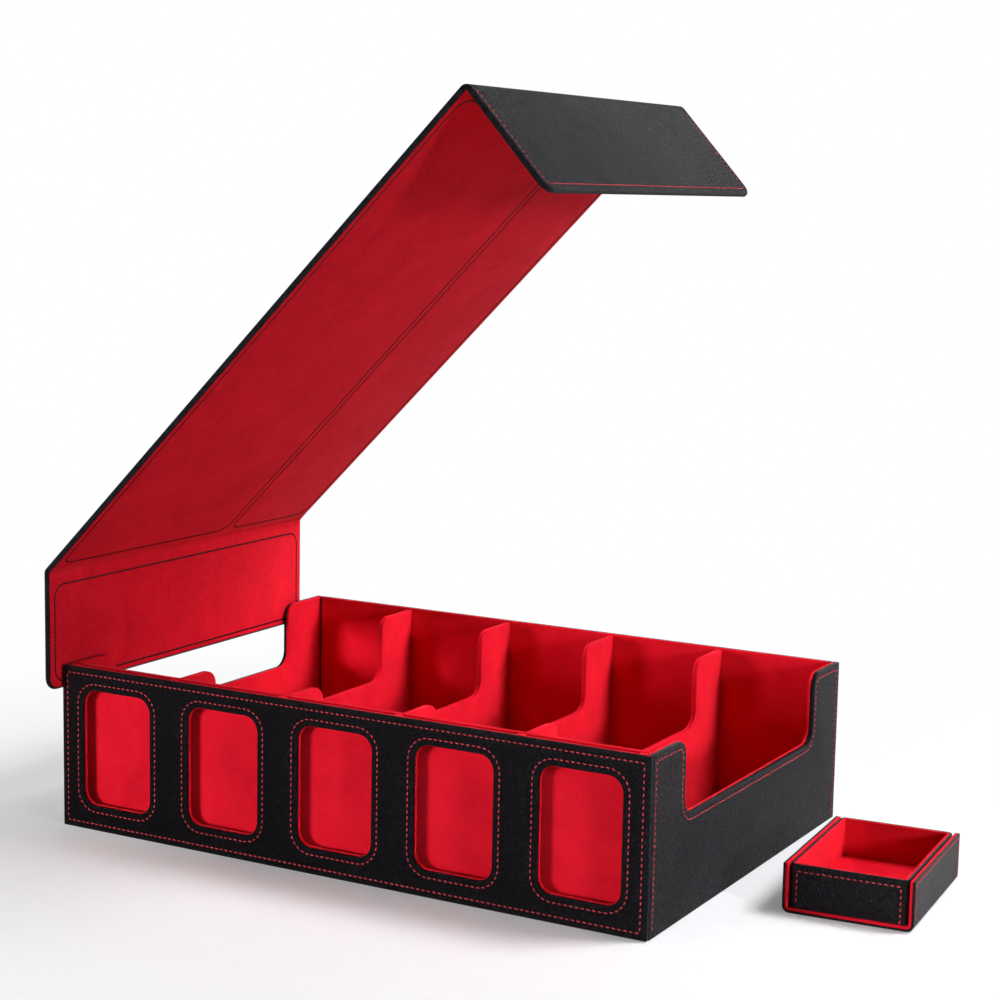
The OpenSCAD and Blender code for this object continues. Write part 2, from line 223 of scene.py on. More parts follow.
@dataclass(frozen=True)
class Dip:
    """The hand dip in a wall: its two ends, its floor and its corner radii."""

    start: float
    end: float
    floor: float
    shoulder: float = 9.0 * MM
    foot: float = 10.0 * MM

    def inset(self, by: float) -> "Dip":
        """The dip drawn larger all round, as a line of stitching follows it."""
        return Dip(self.start - by, self.end + by, self.floor - by,
                   max(self.shoulder - by, SEAM_CORNER), self.foot + by)

    def mirrored(self) -> "Dip":
        """The dip seen from the wall's other side."""
        return Dip(-self.end, -self.start, self.floor, self.shoulder, self.foot)


@dataclass(frozen=True)
class Outline:
    """A flat outline in XY: a rectangle with round corners and, on a wall, a hand dip in its top."""

    low: tuple[float, float]
    high: tuple[float, float]
    radii: tuple[float, float, float, float] = (0.0, 0.0, 0.0, 0.0)
    dip: Optional[Dip] = None
    segments: int = 8

    def inset(self, by: float, radius: float) -> "Outline":
        """A rectangle without a dip drawn smaller all round, with round corners."""
        return Outline((self.low[0] + by, self.low[1] + by), (self.high[0] - by, self.high[1] - by),
                       (radius,) * 4)

    def lining(self, edge: float, proud: float) -> "Outline":
        """The lining's outline: back from the sides and the foot, proud along the top edge."""
        return Outline((self.low[0] + edge, self.low[1] + edge), (self.high[0] - edge, self.high[1] + proud),
                       dip=self.dip.inset(-proud) if self.dip else None, segments=self.segments)

    def corners(self) -> list[tuple[float, float, float]]:
        """The corners to round, as x, y and radius."""
        (x0, y0), (x1, y1) = self.low, self.high
        found = list(zip((x0, x1, x1, x0), (y0, y0, y1, y1), self.radii))
        if self.dip:
            dip = self.dip
            found += [(dip.start, y1, dip.shoulder), (dip.end, y1, dip.shoulder),
                      (dip.start, dip.floor, dip.foot), (dip.end, dip.floor, dip.foot)]
        return [corner for corner in found if corner[2] > 0]

    def sheet(self, name: str) -> Object:
        """Cuts the outline out of a plane as one flat face that looks along +Z."""
        (x0, y0), (x1, y1) = self.low, self.high
        deselect()
        bpy.ops.mesh.primitive_plane_add(size=1, location=((x0 + x1) / 2, (y0 + y1) / 2, 0))
        obj = bpy.context.object
        obj.name = name
        obj.scale = (x1 - x0, y1 - y0, 1)
        apply_place(obj)
        if self.dip:
            self._cut_dip(obj)
        with editing(obj, "VERT"):
            for x, y, radius in self.corners():
                target = Vector((x, y, 0))
                pick(obj, "verts", lambda v: (v.co - target).length < FLAT_TOL)
                bpy.ops.mesh.bevel(offset=radius, segments=self.segments, affect="VERTICES")
        return obj

    def _cut_dip(self, obj: Object) -> None:
        """Takes the dip out of a plain rectangle."""
        dip = self.dip
        cuts = (((dip.start, 0, 0), (1, 0, 0)), ((dip.end, 0, 0), (1, 0, 0)),
                ((0, dip.floor, 0), (0, 1, 0)))
        with editing(obj):
            for point, normal in cuts:
                bpy.ops.mesh.select_all(action="SELECT")
                bpy.ops.mesh.bisect(plane_co=point, plane_no=normal)
            pick(obj, "faces", lambda f: dip.start < f.calc_center_median().x < dip.end
                 and f.calc_center_median().y > dip.floor)
            bpy.ops.mesh.delete(type="FACE")
            bpy.ops.mesh.select_all(action="SELECT")
            bpy.ops.mesh.dissolve_limited(angle_limit=math.radians(1))


def thicken(sheet: Object, z0: float, z1: float) -> Object:
    """Extrudes a flat sheet into a closed plate from z0 to z1."""
    with editing(sheet):
        bpy.ops.mesh.select_all(action="SELECT")
        bpy.ops.transform.translate(value=(0, 0, z0))
        extrude(UP * (z1 - z0))
        face_outwards()
    return sheet


def sheet_along(path: Sequence[Vector], length: float, name: str) -> Object:
    """Draws an edge, centred on the path and as long in Y as the length, along a path into a sheet."""
    deselect()
    bpy.ops.mesh.primitive_plane_add(size=length, location=path[0] - RIGHT * length / 2)
    obj = bpy.context.object
    obj.name = name
    apply_place(obj)
    with editing(obj, "VERT"):
        pick(obj, "verts", lambda v: v.co.x < path[0].x - length / 2)
        bpy.ops.mesh.delete(type="VERT")
        bpy.ops.mesh.select_all(action="SELECT")
        for here, there in zip(path, path[1:]):
            extrude(there - here)
        face_outwards()
    return obj


def round_rim(plate: Object, heights: Sequence[float], width: float, segments: int = 4) -> Object:
    """Rounds the edges between a plate's faces and its sides, and its sharp standing corners.

    Args:
        plate: the plate.
        heights: heights of the faces whose rims are rounded.
        width: radius of the rim.
        segments: steps of the arc.

    Returns:
        The plate.
    """

    def on_rim(edge: bmesh.types.BMEdge) -> bool:
        if len(edge.link_faces) != 2 or edge.calc_face_angle() < RIM_ANGLE:
            return False
        flat = any(all(abs(v.co.z - z) < FLAT_TOL for v in edge.verts) for z in heights)
        return flat or all(abs(f.normal.z) < STANDS for f in edge.link_faces)

    with editing(plate, "EDGE"):
        if pick(plate, "edges", on_rim):
            bpy.ops.mesh.bevel(offset=width, segments=segments, profile=0.5, affect="EDGES")
    return plate


def press_groove(plate: Object, z: float, distance: float, width: float, depth: float) -> None:
    """Presses the groove of a seam into a plate's face, at a distance from the face's rim.

    Args:
        plate: the plate.
        z: height of the face.
        distance: from the face's rim to the middle of the groove.
        width: of the groove.
        depth: of the groove.
    """
    with editing(plate):
        pick(plate, "faces", lambda f: f.normal.z > FACES_UP and abs(f.calc_center_median().z - z) < FLAT_TOL)
        bpy.ops.mesh.inset(thickness=distance - width / 2, depth=0)
        bpy.ops.mesh.inset(thickness=width / 2, depth=-depth)
        bpy.ops.mesh.inset(thickness=width / 2, depth=depth)


def trim(plate: Object, low: Optional[float], high: Optional[float], along: Vector) -> Object:
    """Cuts a plate to length in one direction and closes its ends.

    Args:
        plate: the plate.
        low: place of its lower end, or None to leave that end.
        high: place of its upper end, or None to leave that end.
        along: the direction.

    Returns:
        The plate.
    """
    with editing(plate):
        for place, way in ((low, -along), (high, along)):
            if place is not None:
                bpy.ops.mesh.select_all(action="SELECT")
                bpy.ops.mesh.bisect(plane_co=along * place, plane_no=way, use_fill=True, clear_outer=True)
    return plate


def lay(obj: Object, place: Matrix) -> Object:
    """Lays a piece that was made in its own XY plane in its place on the object."""
    obj.matrix_world = place
    return apply_place(obj)


def plane_matrix(origin: Vector, along: Vector, up: Vector) -> Matrix:
    """The place of a plane whose X runs along and whose Y runs up; its Z is the outside."""
    x = Vector(along).normalized()
    y = Vector(up).normalized()
    z = x.cross(y)
    rotation = Matrix((x, y, z)).transposed().to_4x4()
    return Matrix.Translation(origin) @ rotation


# ---- Stitching ----


@dataclass(frozen=True)
class Thread:
    """A sewing thread: one stitch's size, its slant and the distance to the next one."""

    length: float
    width: float
    height: float
    pitch: float
    slant: float
    swell: tuple[float, float, float] = (1.12, 1.25, 2.3)

    def stitch(self) -> Object:
        """Models one stitch along X, half sunk in the surface at Z = 0; swell makes up for the rounding."""
        deselect()
        bpy.ops.mesh.primitive_cube_add(size=1, calc_uvs=True)
        obj = bpy.context.object
        obj.name = "stitch"
        size = (self.length, self.width, self.height)
        obj.scale = [side * swell for side, swell in zip(size, self.swell)]
        apply_place(obj)
        rounder = obj.modifiers.new("round", "SUBSURF")
        rounder.levels = rounder.render_levels = 1
        apply_modifiers(obj)
        with editing(obj, "VERT"):
            bpy.ops.mesh.select_all(action="SELECT")
            bpy.ops.transform.rotate(value=math.radians(self.slant), orient_axis="Z",
                                     center_override=(0, 0, 0))
        return smooth(obj, 180)

    def seam(self, outline: Outline, name: str, z: float, open_side: Optional[Callable] = None) -> Object:
        """Sews along an outline.

        Args:
            outline: the line to follow, in the piece's own plane.
            name: name of the finished seam.
            z: height of the surface.
            open_side: a test on an edge's middle that says which side stays unsewn.

        Returns:
            The seam as one mesh.
        """
        line = outline.sheet("seam_line")
        with editing(line, "EDGE"):
            bpy.ops.mesh.select_all(action="SELECT")
            bpy.ops.mesh.delete(type="ONLY_FACE")
            if open_side:
                pick(line, "edges", lambda e: open_side((e.verts[0].co + e.verts[1].co) / 2))
                bpy.ops.mesh.delete(type="EDGE")
        activate(line)
        bpy.ops.object.convert(target="CURVE")
        curve = bpy.context.object
        curve.data.twist_mode = "Z_UP"
        length = sum(spline.calc_length() for spline in curve.data.splines)
        count = max(2, round(length / self.pitch))
        seam = self.stitch()
        seam.name = name
        row = seam.modifiers.new("row", "ARRAY")
        row.fit_type = "FIXED_COUNT"
        row.count = count
        row.use_relative_offset = False
        row.use_constant_offset = True
        row.constant_offset_displace = (length / count, 0, 0)
        follow = seam.modifiers.new("follow", "CURVE")
        follow.object = curve
        follow.deform_axis = "POS_X"
        apply_modifiers(seam)
        remove(curve)
        seam.location.z = z
        return apply_place(seam)


RED_THREAD = Thread(length=2.55 * MM, width=0.84 * MM, height=0.4 * MM, pitch=3.45 * MM, slant=7.0)
BLACK_THREAD = Thread(length=3.3 * MM, width=1.45 * MM, height=0.42 * MM, pitch=2.6 * MM, slant=2.0)


# ---- Finishes ----


class Tree:
    """A node tree that is filled one node at a time."""

    def __init__(self, tree: NodeTree) -> None:
        """Takes the tree to fill."""
        self.tree = tree

    def add(self, kind: str, settings: Optional[dict] = None, **inputs: object) -> Node:
        """Adds a node.

        Args:
            kind: the node's type.
            settings: the node's own settings.
            inputs: values, or sockets to link, by the input's name with spaces as underscores.

        Returns:
            The node.
        """
        node = self.tree.nodes.new(kind)
        for key, value in (settings or {}).items():
            setattr(node, key, value)
        for key, value in inputs.items():
            self.feed(node, key.replace("_", " "), value)
        return node

    def feed(self, node: Node, name: str, value: object) -> None:
        """Sets an input by name or number, or links a socket to it."""
        socket = node.inputs[int(name[1:])] if name[0] == "i" and name[1:].isdigit() else node.inputs[name]
        if isinstance(value, Socket):
            self.tree.links.new(value, socket)
        else:
            socket.default_value = value

    def maths(self, operation: str, *values: object) -> Socket:
        """A Math node on the values, and its result."""
        node = self.add("ShaderNodeMath", {"operation": operation})
        for number, value in enumerate(values):
            self.feed(node, f"i{number}", value)
        return node.outputs[0]

    def noise(self, vector: Socket, scale: object, detail: float,
              **more: float) -> Socket:
        """Noise, as a value from 0 to 1."""
        node = self.add("ShaderNodeTexNoise", None, Vector=vector, Scale=scale, Detail=detail, **more)
        return node.outputs[0]

    def remap(self, value: Socket, low: float, high: float,
              new_low: float, new_high: float) -> Socket:
        """Stretches a value from one range to another, held within it."""
        return self.add("ShaderNodeMapRange", None, Value=value, From_Min=low, From_Max=high,
                        To_Min=new_low, To_Max=new_high).outputs[0]

    def blend(self, factor: object, first: object, second: object) -> Socket:
        """Mixes two colours."""
        node = self.add("ShaderNodeMix", {"data_type": "RGBA"})
        self.feed(node, "i0", factor)
        self.feed(node, "i6", first)
        self.feed(node, "i7", second)
        return node.outputs[2]


class Effect(Enum):
    """Surface effects that several materials share, each built once as a node group."""

    PEBBLE = "pebble_grain"
    NAP = "suede_nap"
    WEAR = "edge_wear"
    CLOUD = "cloudy_tone"

    def group(self) -> NodeTree:
        """The effect's node group, built on first use."""
        found = bpy.data.node_groups.get(self.value)
        return found or EFFECT_BUILDERS[self](self.value)


def new_group(name: str, inputs: Sequence[tuple[str, str, object]],
              outputs: Sequence[tuple[str, str]]) -> tuple[Tree, Node, Node]:
    """Starts a node group.

    Args:
        name: the group's name.
        inputs: name, socket type and default of each input.
        outputs: name and socket type of each output.

    Returns:
        The tree, its input node and its output node.
    """
    group = bpy.data.node_groups.new(name, "ShaderNodeTree")
    for label, kind, default in inputs:
        socket = group.interface.new_socket(name=label, in_out="INPUT", socket_type=kind)
        if default is not None:
            socket.default_value = default
    for label, kind in outputs:
        group.interface.new_socket(name=label, in_out="OUTPUT", socket_type=kind)
    tree = Tree(group)
    return tree, tree.add("NodeGroupInput"), tree.add("NodeGroupOutput")


def build_pebble(name: str) -> NodeTree:
    """Leather grain: small rounded pebbles with creases between them."""
    tree, source, sink = new_group(
        name, [("Vector", "NodeSocketVector", None), ("Cells per metre", "NodeSocketFloat", 900.0),
               ("Fineness", "NodeSocketFloat", 0.3)],
        [("Height", "NodeSocketFloat"), ("Crease", "NodeSocketFloat")])
    bend = tree.add("ShaderNodeTexNoise", None, Vector=source.outputs[0], Scale=320.0, Detail=2.0)
    shift = tree.add("ShaderNodeVectorMath", {"operation": "SCALE"}, i0=bend.outputs["Color"], Scale=0.0012)
    moved = tree.add("ShaderNodeVectorMath", {"operation": "ADD"}, i0=source.outputs[0], i1=shift.outputs[0])
    cells = tree.add("ShaderNodeTexVoronoi", {"feature": "DISTANCE_TO_EDGE"},
                     Vector=moved.outputs[0], Scale=source.outputs[1])
    domes = tree.remap(cells.outputs[0], 0.0, 0.34, 0.0, 1.0)
    rounded = tree.maths("POWER", domes, 0.6)
    fine = tree.maths("MULTIPLY", tree.noise(source.outputs[0], 4200.0, 3.0), source.outputs[2])
    tree.feed(sink, "Height", tree.maths("ADD", rounded, fine))
    tree.feed(sink, "Crease", tree.remap(cells.outputs[0], 0.0, 0.12, 1.0, 0.0))
    return tree.tree


def build_nap(name: str) -> NodeTree:
    """Brushed suede: fine fibres, and soft patches where the nap lies another way."""
    tree, source, sink = new_group(
        name, [("Vector", "NodeSocketVector", None), ("Fibres per metre", "NodeSocketFloat", 2600.0),
               ("Patches per metre", "NodeSocketFloat", 38.0)],
        [("Height", "NodeSocketFloat"), ("Fibre", "NodeSocketFloat"), ("Brushed", "NodeSocketFloat")])
    stretch = tree.add("ShaderNodeVectorMath", {"operation": "MULTIPLY"}, i0=source.outputs[0],
                       i1=(1.0, 0.45, 0.8))
    fibres = tree.noise(stretch.outputs[0], source.outputs[1], 4.0, Roughness=0.75)
    patches = tree.noise(source.outputs[0], source.outputs[2], 5.0, Roughness=0.6, Distortion=0.6)
    tree.feed(sink, "Height", fibres)
    tree.feed(sink, "Fibre", tree.remap(fibres, 0.35, 0.68, 0.0, 1.0))
    tree.feed(sink, "Brushed", tree.remap(patches, 0.32, 0.68, 0.0, 1.0))
    return tree.tree


def build_wear(name: str) -> NodeTree:
    """Edge wear: a broken mask along convex edges."""
    tree, source, sink = new_group(
        name, [("Vector", "NodeSocketVector", None), ("Amount", "NodeSocketFloat", 0.5)],
        [("Mask", "NodeSocketFloat")])
    shape = tree.add("ShaderNodeNewGeometry")
    edge = tree.remap(shape.outputs["Pointiness"], 0.505, 0.58, 0.0, 1.0)
    chips = tree.noise(source.outputs[0], 260.0, 4.0)
    broken = tree.maths("MULTIPLY", edge, tree.remap(chips, 0.35, 0.7, 0.2, 1.0))
    tree.feed(sink, "Mask", tree.maths("MULTIPLY", broken, source.outputs[1]))
    return tree.tree


def build_cloud(name: str) -> NodeTree:
    """Slow variation of tone over a surface, with a little fine speckle."""
    tree, source, sink = new_group(
        name, [("Vector", "NodeSocketVector", None), ("Patches per metre", "NodeSocketFloat", 14.0)],
        [("Tone", "NodeSocketFloat"), ("Speck", "NodeSocketFloat")])
    slow = tree.noise(source.outputs[0], source.outputs[1], 3.0, Roughness=0.5)
    specks = tree.noise(source.outputs[0], 1500.0, 1.0)
    tree.feed(sink, "Tone", tree.remap(slow, 0.3, 0.7, 0.0, 1.0))
    tree.feed(sink, "Speck", tree.remap(specks, 0.74, 0.8, 0.0, 1.0))
    return tree.tree


EFFECT_BUILDERS = {Effect.PEBBLE: build_pebble, Effect.NAP: build_nap, Effect.WEAR: build_wear,
                   Effect.CLOUD: build_cloud}


@dataclass
class Surface:
    """A material that is being built, with its Principled shader and its Object coordinates."""

    name: str
    material: Material = field(init=False)
    tree: Tree = field(init=False)
    shader: Node = field(init=False)
    vector: Socket = field(init=False)

    def __post_init__(self) -> None:
        """Makes the material with its shader, output and coordinates."""
        self.material = bpy.data.materials.new(self.name)
        self.material.use_nodes = True
        self.material.node_tree.nodes.clear()
        self.tree = Tree(self.material.node_tree)
        self.shader = self.tree.add("ShaderNodeBsdfPrincipled")
        self.tree.add("ShaderNodeOutputMaterial", None, Surface=self.shader.outputs[0])
        self.vector = self.tree.add("ShaderNodeTexCoord").outputs["Object"]

    def effect(self, effect: Effect, **inputs: object) -> Node:
        """Places a shared effect with its own values."""
        node = self.tree.add("ShaderNodeGroup", {"node_tree": effect.group()}, Vector=self.vector)
        for key, value in inputs.items():
            self.tree.feed(node, key.replace("_", " "), value)
        return node

    def bump(self, height: Socket, distance: float, strength: float) -> None:
        """Feeds a bump to the shader's normal."""
        bump = self.tree.add("ShaderNodeBump", None, Height=height, Distance=distance, Strength=strength)
        self.tree.feed(self.shader, "Normal", bump.outputs[0])

    def finish(self, **values: object) -> None:
        """Sets or links the shader's own inputs, by name with spaces as underscores."""
        for key, value in values.items():
            self.tree.feed(self.shader, key.replace("_", " "), value)


@dataclass(frozen=True)
class LeatherFinish:
    """Black artificial leather with a fine pebbled grain."""

    name: str = "black_leather"
    dark: tuple = (0.0038, 0.0038, 0.0044, 1)
    light: tuple = (0.0066, 0.0064, 0.0075, 1)
    worn: tuple = (0.03, 0.03, 0.033, 1)

    def material(self) -> Material:
        """Builds the material."""
        surface = Surface(self.name)
        tree = surface.tree
        grain = surface.effect(Effect.PEBBLE, Cells_per_metre=720.0, Fineness=0.3)
        cloud = surface.effect(Effect.CLOUD, Patches_per_metre=16.0)
        wear = surface.effect(Effect.WEAR, Amount=0.55)
        tone = tree.blend(cloud.outputs["Tone"], self.dark, self.light)
        # The grain's creases are darkened towards near black: painted shade in the creases.
        crease_shaded = tree.blend(tree.maths("MULTIPLY", grain.outputs["Crease"], 0.6), tone,
                             (0.003, 0.003, 0.0035, 1))
        matt = tree.maths("MULTIPLY", grain.outputs["Crease"], 0.14)
        rough = tree.maths("ADD", tree.remap(cloud.outputs["Tone"], 0.0, 1.0, 0.36, 0.43), matt)
        rubbed = tree.maths("MULTIPLY", wear.outputs["Mask"], 0.12)
        surface.bump(grain.outputs["Height"], 0.0007, 0.9)
        surface.finish(Base_Color=tree.blend(wear.outputs["Mask"], crease_shaded, self.worn),
                       Roughness=tree.maths("SUBTRACT", rough, rubbed),
                       Specular_IOR_Level=0.24, Specular_Tint=(0.92, 0.86, 1.0, 1))
        return surface.material


@dataclass(frozen=True)
class LiningFinish:
    """Red microfibre suede with a brushed nap."""

    name: str = "red_suede"
    deep: tuple = (0.53, 0.0044, 0.0148, 1)
    bright: tuple = (0.72, 0.0078, 0.0225, 1)
    tip: tuple = (0.85, 0.016, 0.034, 1)

    def material(self) -> Material:
        """Builds the material."""
        surface = Surface(self.name)
        tree = surface.tree
        nap = surface.effect(Effect.NAP, Fibres_per_metre=2400.0, Patches_per_metre=30.0)
        wear = surface.effect(Effect.WEAR, Amount=0.5)
        brushed = tree.blend(nap.outputs["Brushed"], self.deep, self.bright)
        fibres = tree.blend(tree.maths("MULTIPLY", nap.outputs["Fibre"], 0.3), brushed, self.tip)
        surface.bump(nap.outputs["Height"], 0.0003, 0.35)
        surface.finish(Base_Color=tree.blend(wear.outputs["Mask"], fibres, self.tip),
                       Roughness=tree.remap(nap.outputs["Brushed"], 0.0, 1.0, 0.92, 0.82),
                       Specular_IOR_Level=0.08, Sheen_Weight=0.22, Sheen_Roughness=0.4,
                       Sheen_Tint=(1.0, 0.16, 0.2, 1))
        return surface.material


@dataclass(frozen=True)
class ThreadFinish:
    """Twisted polyester thread, its ply drawn on the stitch's own UV map, with painted shade in the grooves of the
    twist.
    """

    name: str
    low: tuple
    high: tuple

    def material(self) -> Material:
        """Builds the material."""
        surface = Surface(self.name)
        tree = surface.tree
        uv = tree.add("ShaderNodeUVMap").outputs[0]
        ply = tree.add("ShaderNodeTexWave", {"wave_type": "BANDS", "bands_direction": "DIAGONAL"},
                       Vector=uv, Scale=3.2, Distortion=0.8)
        cloud = surface.effect(Effect.CLOUD, Patches_per_metre=120.0)
        # The colour runs from low in the grooves of the twist to high on its ridges, which is painted shade in the
        # grooves; a slow random tone varies it on top.
        tone = tree.maths("MULTIPLY", ply.outputs[1], tree.remap(cloud.outputs["Tone"], 0, 1, 0.75, 1.0))
        surface.bump(ply.outputs[1], 0.0001, 0.6)
        surface.finish(Base_Color=tree.blend(tone, self.low, self.high),
                       Roughness=tree.remap(ply.outputs[1], 0.0, 1.0, 0.7, 0.5), Specular_IOR_Level=0.15)
        return surface.material


@dataclass(frozen=True)
class BoardFinish:
    """Raw greyboard with flecks of fibre."""

    name: str = "greyboard"

    def material(self) -> Material:
        """Builds the material."""
        surface = Surface(self.name)
        tree = surface.tree
        nap = surface.effect(Effect.NAP, Fibres_per_metre=1400.0, Patches_per_metre=60.0)
        tone = tree.blend(nap.outputs["Brushed"], (0.24, 0.22, 0.19, 1), (0.33, 0.31, 0.27, 1))
        flecks = tree.maths("MULTIPLY", nap.outputs["Fibre"], 0.35)
        surface.bump(nap.outputs["Height"], 0.0002, 0.4)
        surface.finish(Base_Color=tree.blend(flecks, tone, (0.16, 0.14, 0.12, 1)),
                       Roughness=tree.remap(nap.outputs["Fibre"], 0.0, 1.0, 0.95, 0.8))
        return surface.material


@dataclass(frozen=True)
class MagnetFinish:
    """Nickel-plated magnet with fine turning marks."""

    name: str = "nickel_plate"

    def material(self) -> Material:
        """Builds the material."""
        surface = Surface(self.name)
        tree = surface.tree
        cloud = surface.effect(Effect.CLOUD, Patches_per_metre=400.0)
        wear = surface.effect(Effect.WEAR, Amount=0.4)
        tone = tree.blend(cloud.outputs["Tone"], (0.58, 0.57, 0.54, 1), (0.68, 0.67, 0.65, 1))
        surface.bump(cloud.outputs["Speck"], 0.00005, 0.2)
        surface.finish(Base_Color=tree.blend(wear.outputs["Mask"], tone, (0.8, 0.8, 0.8, 1)),
                       Roughness=tree.remap(cloud.outputs["Tone"], 0.0, 1.0, 0.2, 0.34), Metallic=1.0)
        return surface.material


@dataclass
class Wardrobe:
    """Every finish of the object, built once."""

    leather: Material = field(default_factory=lambda: LeatherFinish().material())
    lining: Material = field(default_factory=lambda: LiningFinish().material())
    red_thread: Material = field(default_factory=lambda: ThreadFinish(
        "red_thread", (0.5, 0.03, 0.045, 1), (0.86, 0.12, 0.15, 1)).material())
    black_thread: Material = field(default_factory=lambda: ThreadFinish(
        "black_thread", (0.0015, 0.0012, 0.0012, 1), (0.006, 0.0045, 0.0045, 1)).material())
    board: Material = field(default_factory=lambda: BoardFinish().material())
    magnet: Material = field(default_factory=lambda: MagnetFinish().material())

    def by_slot(self, slot: str) -> Material:
        """The finish for one of the record's material slots."""
        return {"black_leather": self.leather, "red_lining": self.lining, "greyboard": self.board,
                "red_thread": self.red_thread, "black_thread": self.black_thread,
                "magnet_plate": self.magnet}[slot]

    def dress(self, obj: Object, slot: str, body: str, *nodes: str) -> None:
        """Gives a finished piece its finish, its body and the nodes that it stands for.

        Args:
            obj: the piece.
            slot: the record's material slot.
            body: the body it rides on; an empty string leaves it without a body.
            nodes: the nodes it replaces.
        """
        obj.data.materials.clear()
        obj.data.materials.append(self.by_slot(slot))
        if nodes:
            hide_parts(*nodes)
        if body:
            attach(obj, body)
        LOG.info("%s: %d faces, on %s", obj.name, len(obj.data.polygons), body or "two bodies")

    def dress_nodes(self) -> None:
        """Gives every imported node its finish, shown or not."""
        for entry in frame["record"]["subparts"]:
            node = frame["nodes"][entry["node"]]
            node.data.materials.clear()
            node.data.materials.append(self.by_slot(entry["material_slot"]))


# ---- The box ----


@dataclass
class BoxShell:
    """The four walls and the base: leather outside, suede inside, stitched along every edge."""

    wardrobe: Wardrobe
    rim: float = 1.0 * MM
    inner_rim: float = 0.8 * MM
    groove_w: float = 1.5 * MM
    groove_d: float = 0.22 * MM
    window: tuple[float, float] = (50.0 * MM, 71.0 * MM)
    window_low: float = 15.5 * MM
    window_r: float = 9.0 * MM
    window_pitch: float = 78.0 * MM
    reveal: float = 0.45 * MM
    reveal_start: float = 1.5 * MM
    reveal_rim: float = 0.3 * MM
    reveal_overlap: float = 0.05 * MM
    cutter_reach: float = 20.0 * MM
    lining_edge: float = 1.2 * MM
    foot_gap: float = 1.8 * MM
    base_line: float = 9.0 * MM
    base_rim: float = 0.4 * MM

    def build(self) -> None:
        """Builds and dresses every piece of the shell."""
        self.front()
        self.side("left", -1)
        self.side("right", 1)
        self.back()
        self.base()

    def window_outline(self, grow: float = 0.0) -> Outline:
        """One window about its own middle, drawn larger all round by grow."""
        half_w, half_h = self.window[0] / 2 + grow, self.window[1] / 2 + grow
        return Outline((-half_w, -half_h), (half_w, half_h), (self.window_r + grow,) * 4)

    def window_places(self) -> list[Vector]:
        """The middle of each window in the front panel's plane."""
        height = self.window_low + self.window[1] / 2
        return [Vector((step * self.window_pitch, height, 0)) for step in range(-2, 3)]

    def cut_windows(self, panel: Object) -> Object:
        """Cuts the windows through a panel."""
        cutters = []
        for place in self.window_places():
            cutter = thicken(self.window_outline().sheet("cutter"), -self.cutter_reach, self.cutter_reach)
            cutters.append(lay(cutter, Matrix.Translation(place)))
        cutter = join(cutters, "cutters")
        cut = panel.modifiers.new("windows", "BOOLEAN")
        cut.operation = "DIFFERENCE"
        cut.solver = "EXACT"
        cut.object = cutter
        apply_modifiers(panel)
        remove(cutter)
        return panel

    def front(self) -> None:
        """The windowed front panel with its lining, window edges and stitching."""
        low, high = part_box("front_skin")
        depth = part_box("front_lining")[1].y - low.y
        place = plane_matrix(Vector((0, low.y, 0)), RIGHT, UP)
        outline = Outline((low.x, low.z), (high.x, high.z))

        leather = self.cut_windows(thicken(outline.sheet("front_leather"), -depth, 0))
        lay(self.sewn(leather, depth), place)
        self.wardrobe.dress(leather, "black_leather", "box", "front_skin")

        lining = self.cut_windows(self.lining_slab(outline, depth, "front_suede"))
        round_rim(lining, (-depth - LINING_PROUD,), self.inner_rim)
        edges = [self.window_edge(spot, depth) for spot in self.window_places()]
        lining = lay(smooth(join([lining, *edges], "front_suede")), place)
        self.wardrobe.dress(lining, "red_lining", "box", "front_lining")

        seams = [RED_THREAD.seam(outline.inset(STITCH_INSET, SEAM_CORNER), "rim_seam", -self.groove_d)]
        for spot in self.window_places():
            seam = RED_THREAD.seam(self.window_outline(STITCH_INSET), "window_seam", -self.groove_d)
            seams.append(lay(seam, Matrix.Translation(spot)))
        seam = lay(join(seams, "front_seams"), place)
        self.wardrobe.dress(seam, "red_thread", "box", "front_stitching")

    def sewn(self, leather: Object, depth: float) -> Object:
        """Presses the seam's groove into a leather face and rounds its rims."""
        press_groove(leather, 0, STITCH_INSET, self.groove_w, self.groove_d)
        return smooth(round_rim(leather, (0, -depth), self.rim))

    def lining_slab(self, outline: Outline, depth: float, name: str) -> Object:
        """The suede on a wall's inner half: its face and top edge lie just proud of the leather."""
        sheet = outline.lining(self.lining_edge, LINING_PROUD).sheet(name)
        return thicken(sheet, -depth - LINING_PROUD, -depth / 2)

    def wall_lining(self, name: str, outline: Outline, depth: float, place: Matrix) -> None:
        """The suede on the inside of the left, right or back wall."""
        lining = self.lining_slab(outline, depth, f"{name}_suede")
        round_rim(lining, (-depth - LINING_PROUD, -depth / 2), self.inner_rim)
        self.wardrobe.dress(lay(smooth(lining), place), "red_lining", "box", f"{name}_wall_lining")

    def window_edge(self, spot: Vector, depth: float) -> Object:
        """The turned red edge in the back half of one window's reveal."""
        ring = self.window_outline(self.reveal_overlap).sheet("window_edge")
        with editing(ring):
            bpy.ops.mesh.select_all(action="SELECT")
            bpy.ops.mesh.inset(thickness=self.reveal, depth=0)
            bpy.ops.mesh.delete(type="FACE")
        thicken(ring, -depth - LINING_PROUD, -self.reveal_start)
        round_rim(ring, (-self.reveal_start,), self.reveal_rim, 2)
        return lay(ring, Matrix.Translation(spot))

    def side(self, name: str, side: int) -> None:
        """A side wall.

        Args:
            name: left or right.
            side: -1 for the left wall, 1 for the right one.
        """
        low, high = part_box(f"{name}_wall_skin")
        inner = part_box(f"{name}_wall_lining")
        depth = (high.x - low.x) + (inner[1].x - inner[0].x)
        outer_x = high.x if side > 0 else low.x
        place = plane_matrix(Vector((outer_x, 0, 0)), BACKWARD * side, UP)
        dip = hand_dip() if side > 0 else hand_dip().mirrored()
        ends = sorted((low.y * side, high.y * side))
        outline = Outline((ends[0], low.z), (ends[1], high.z), dip=dip)

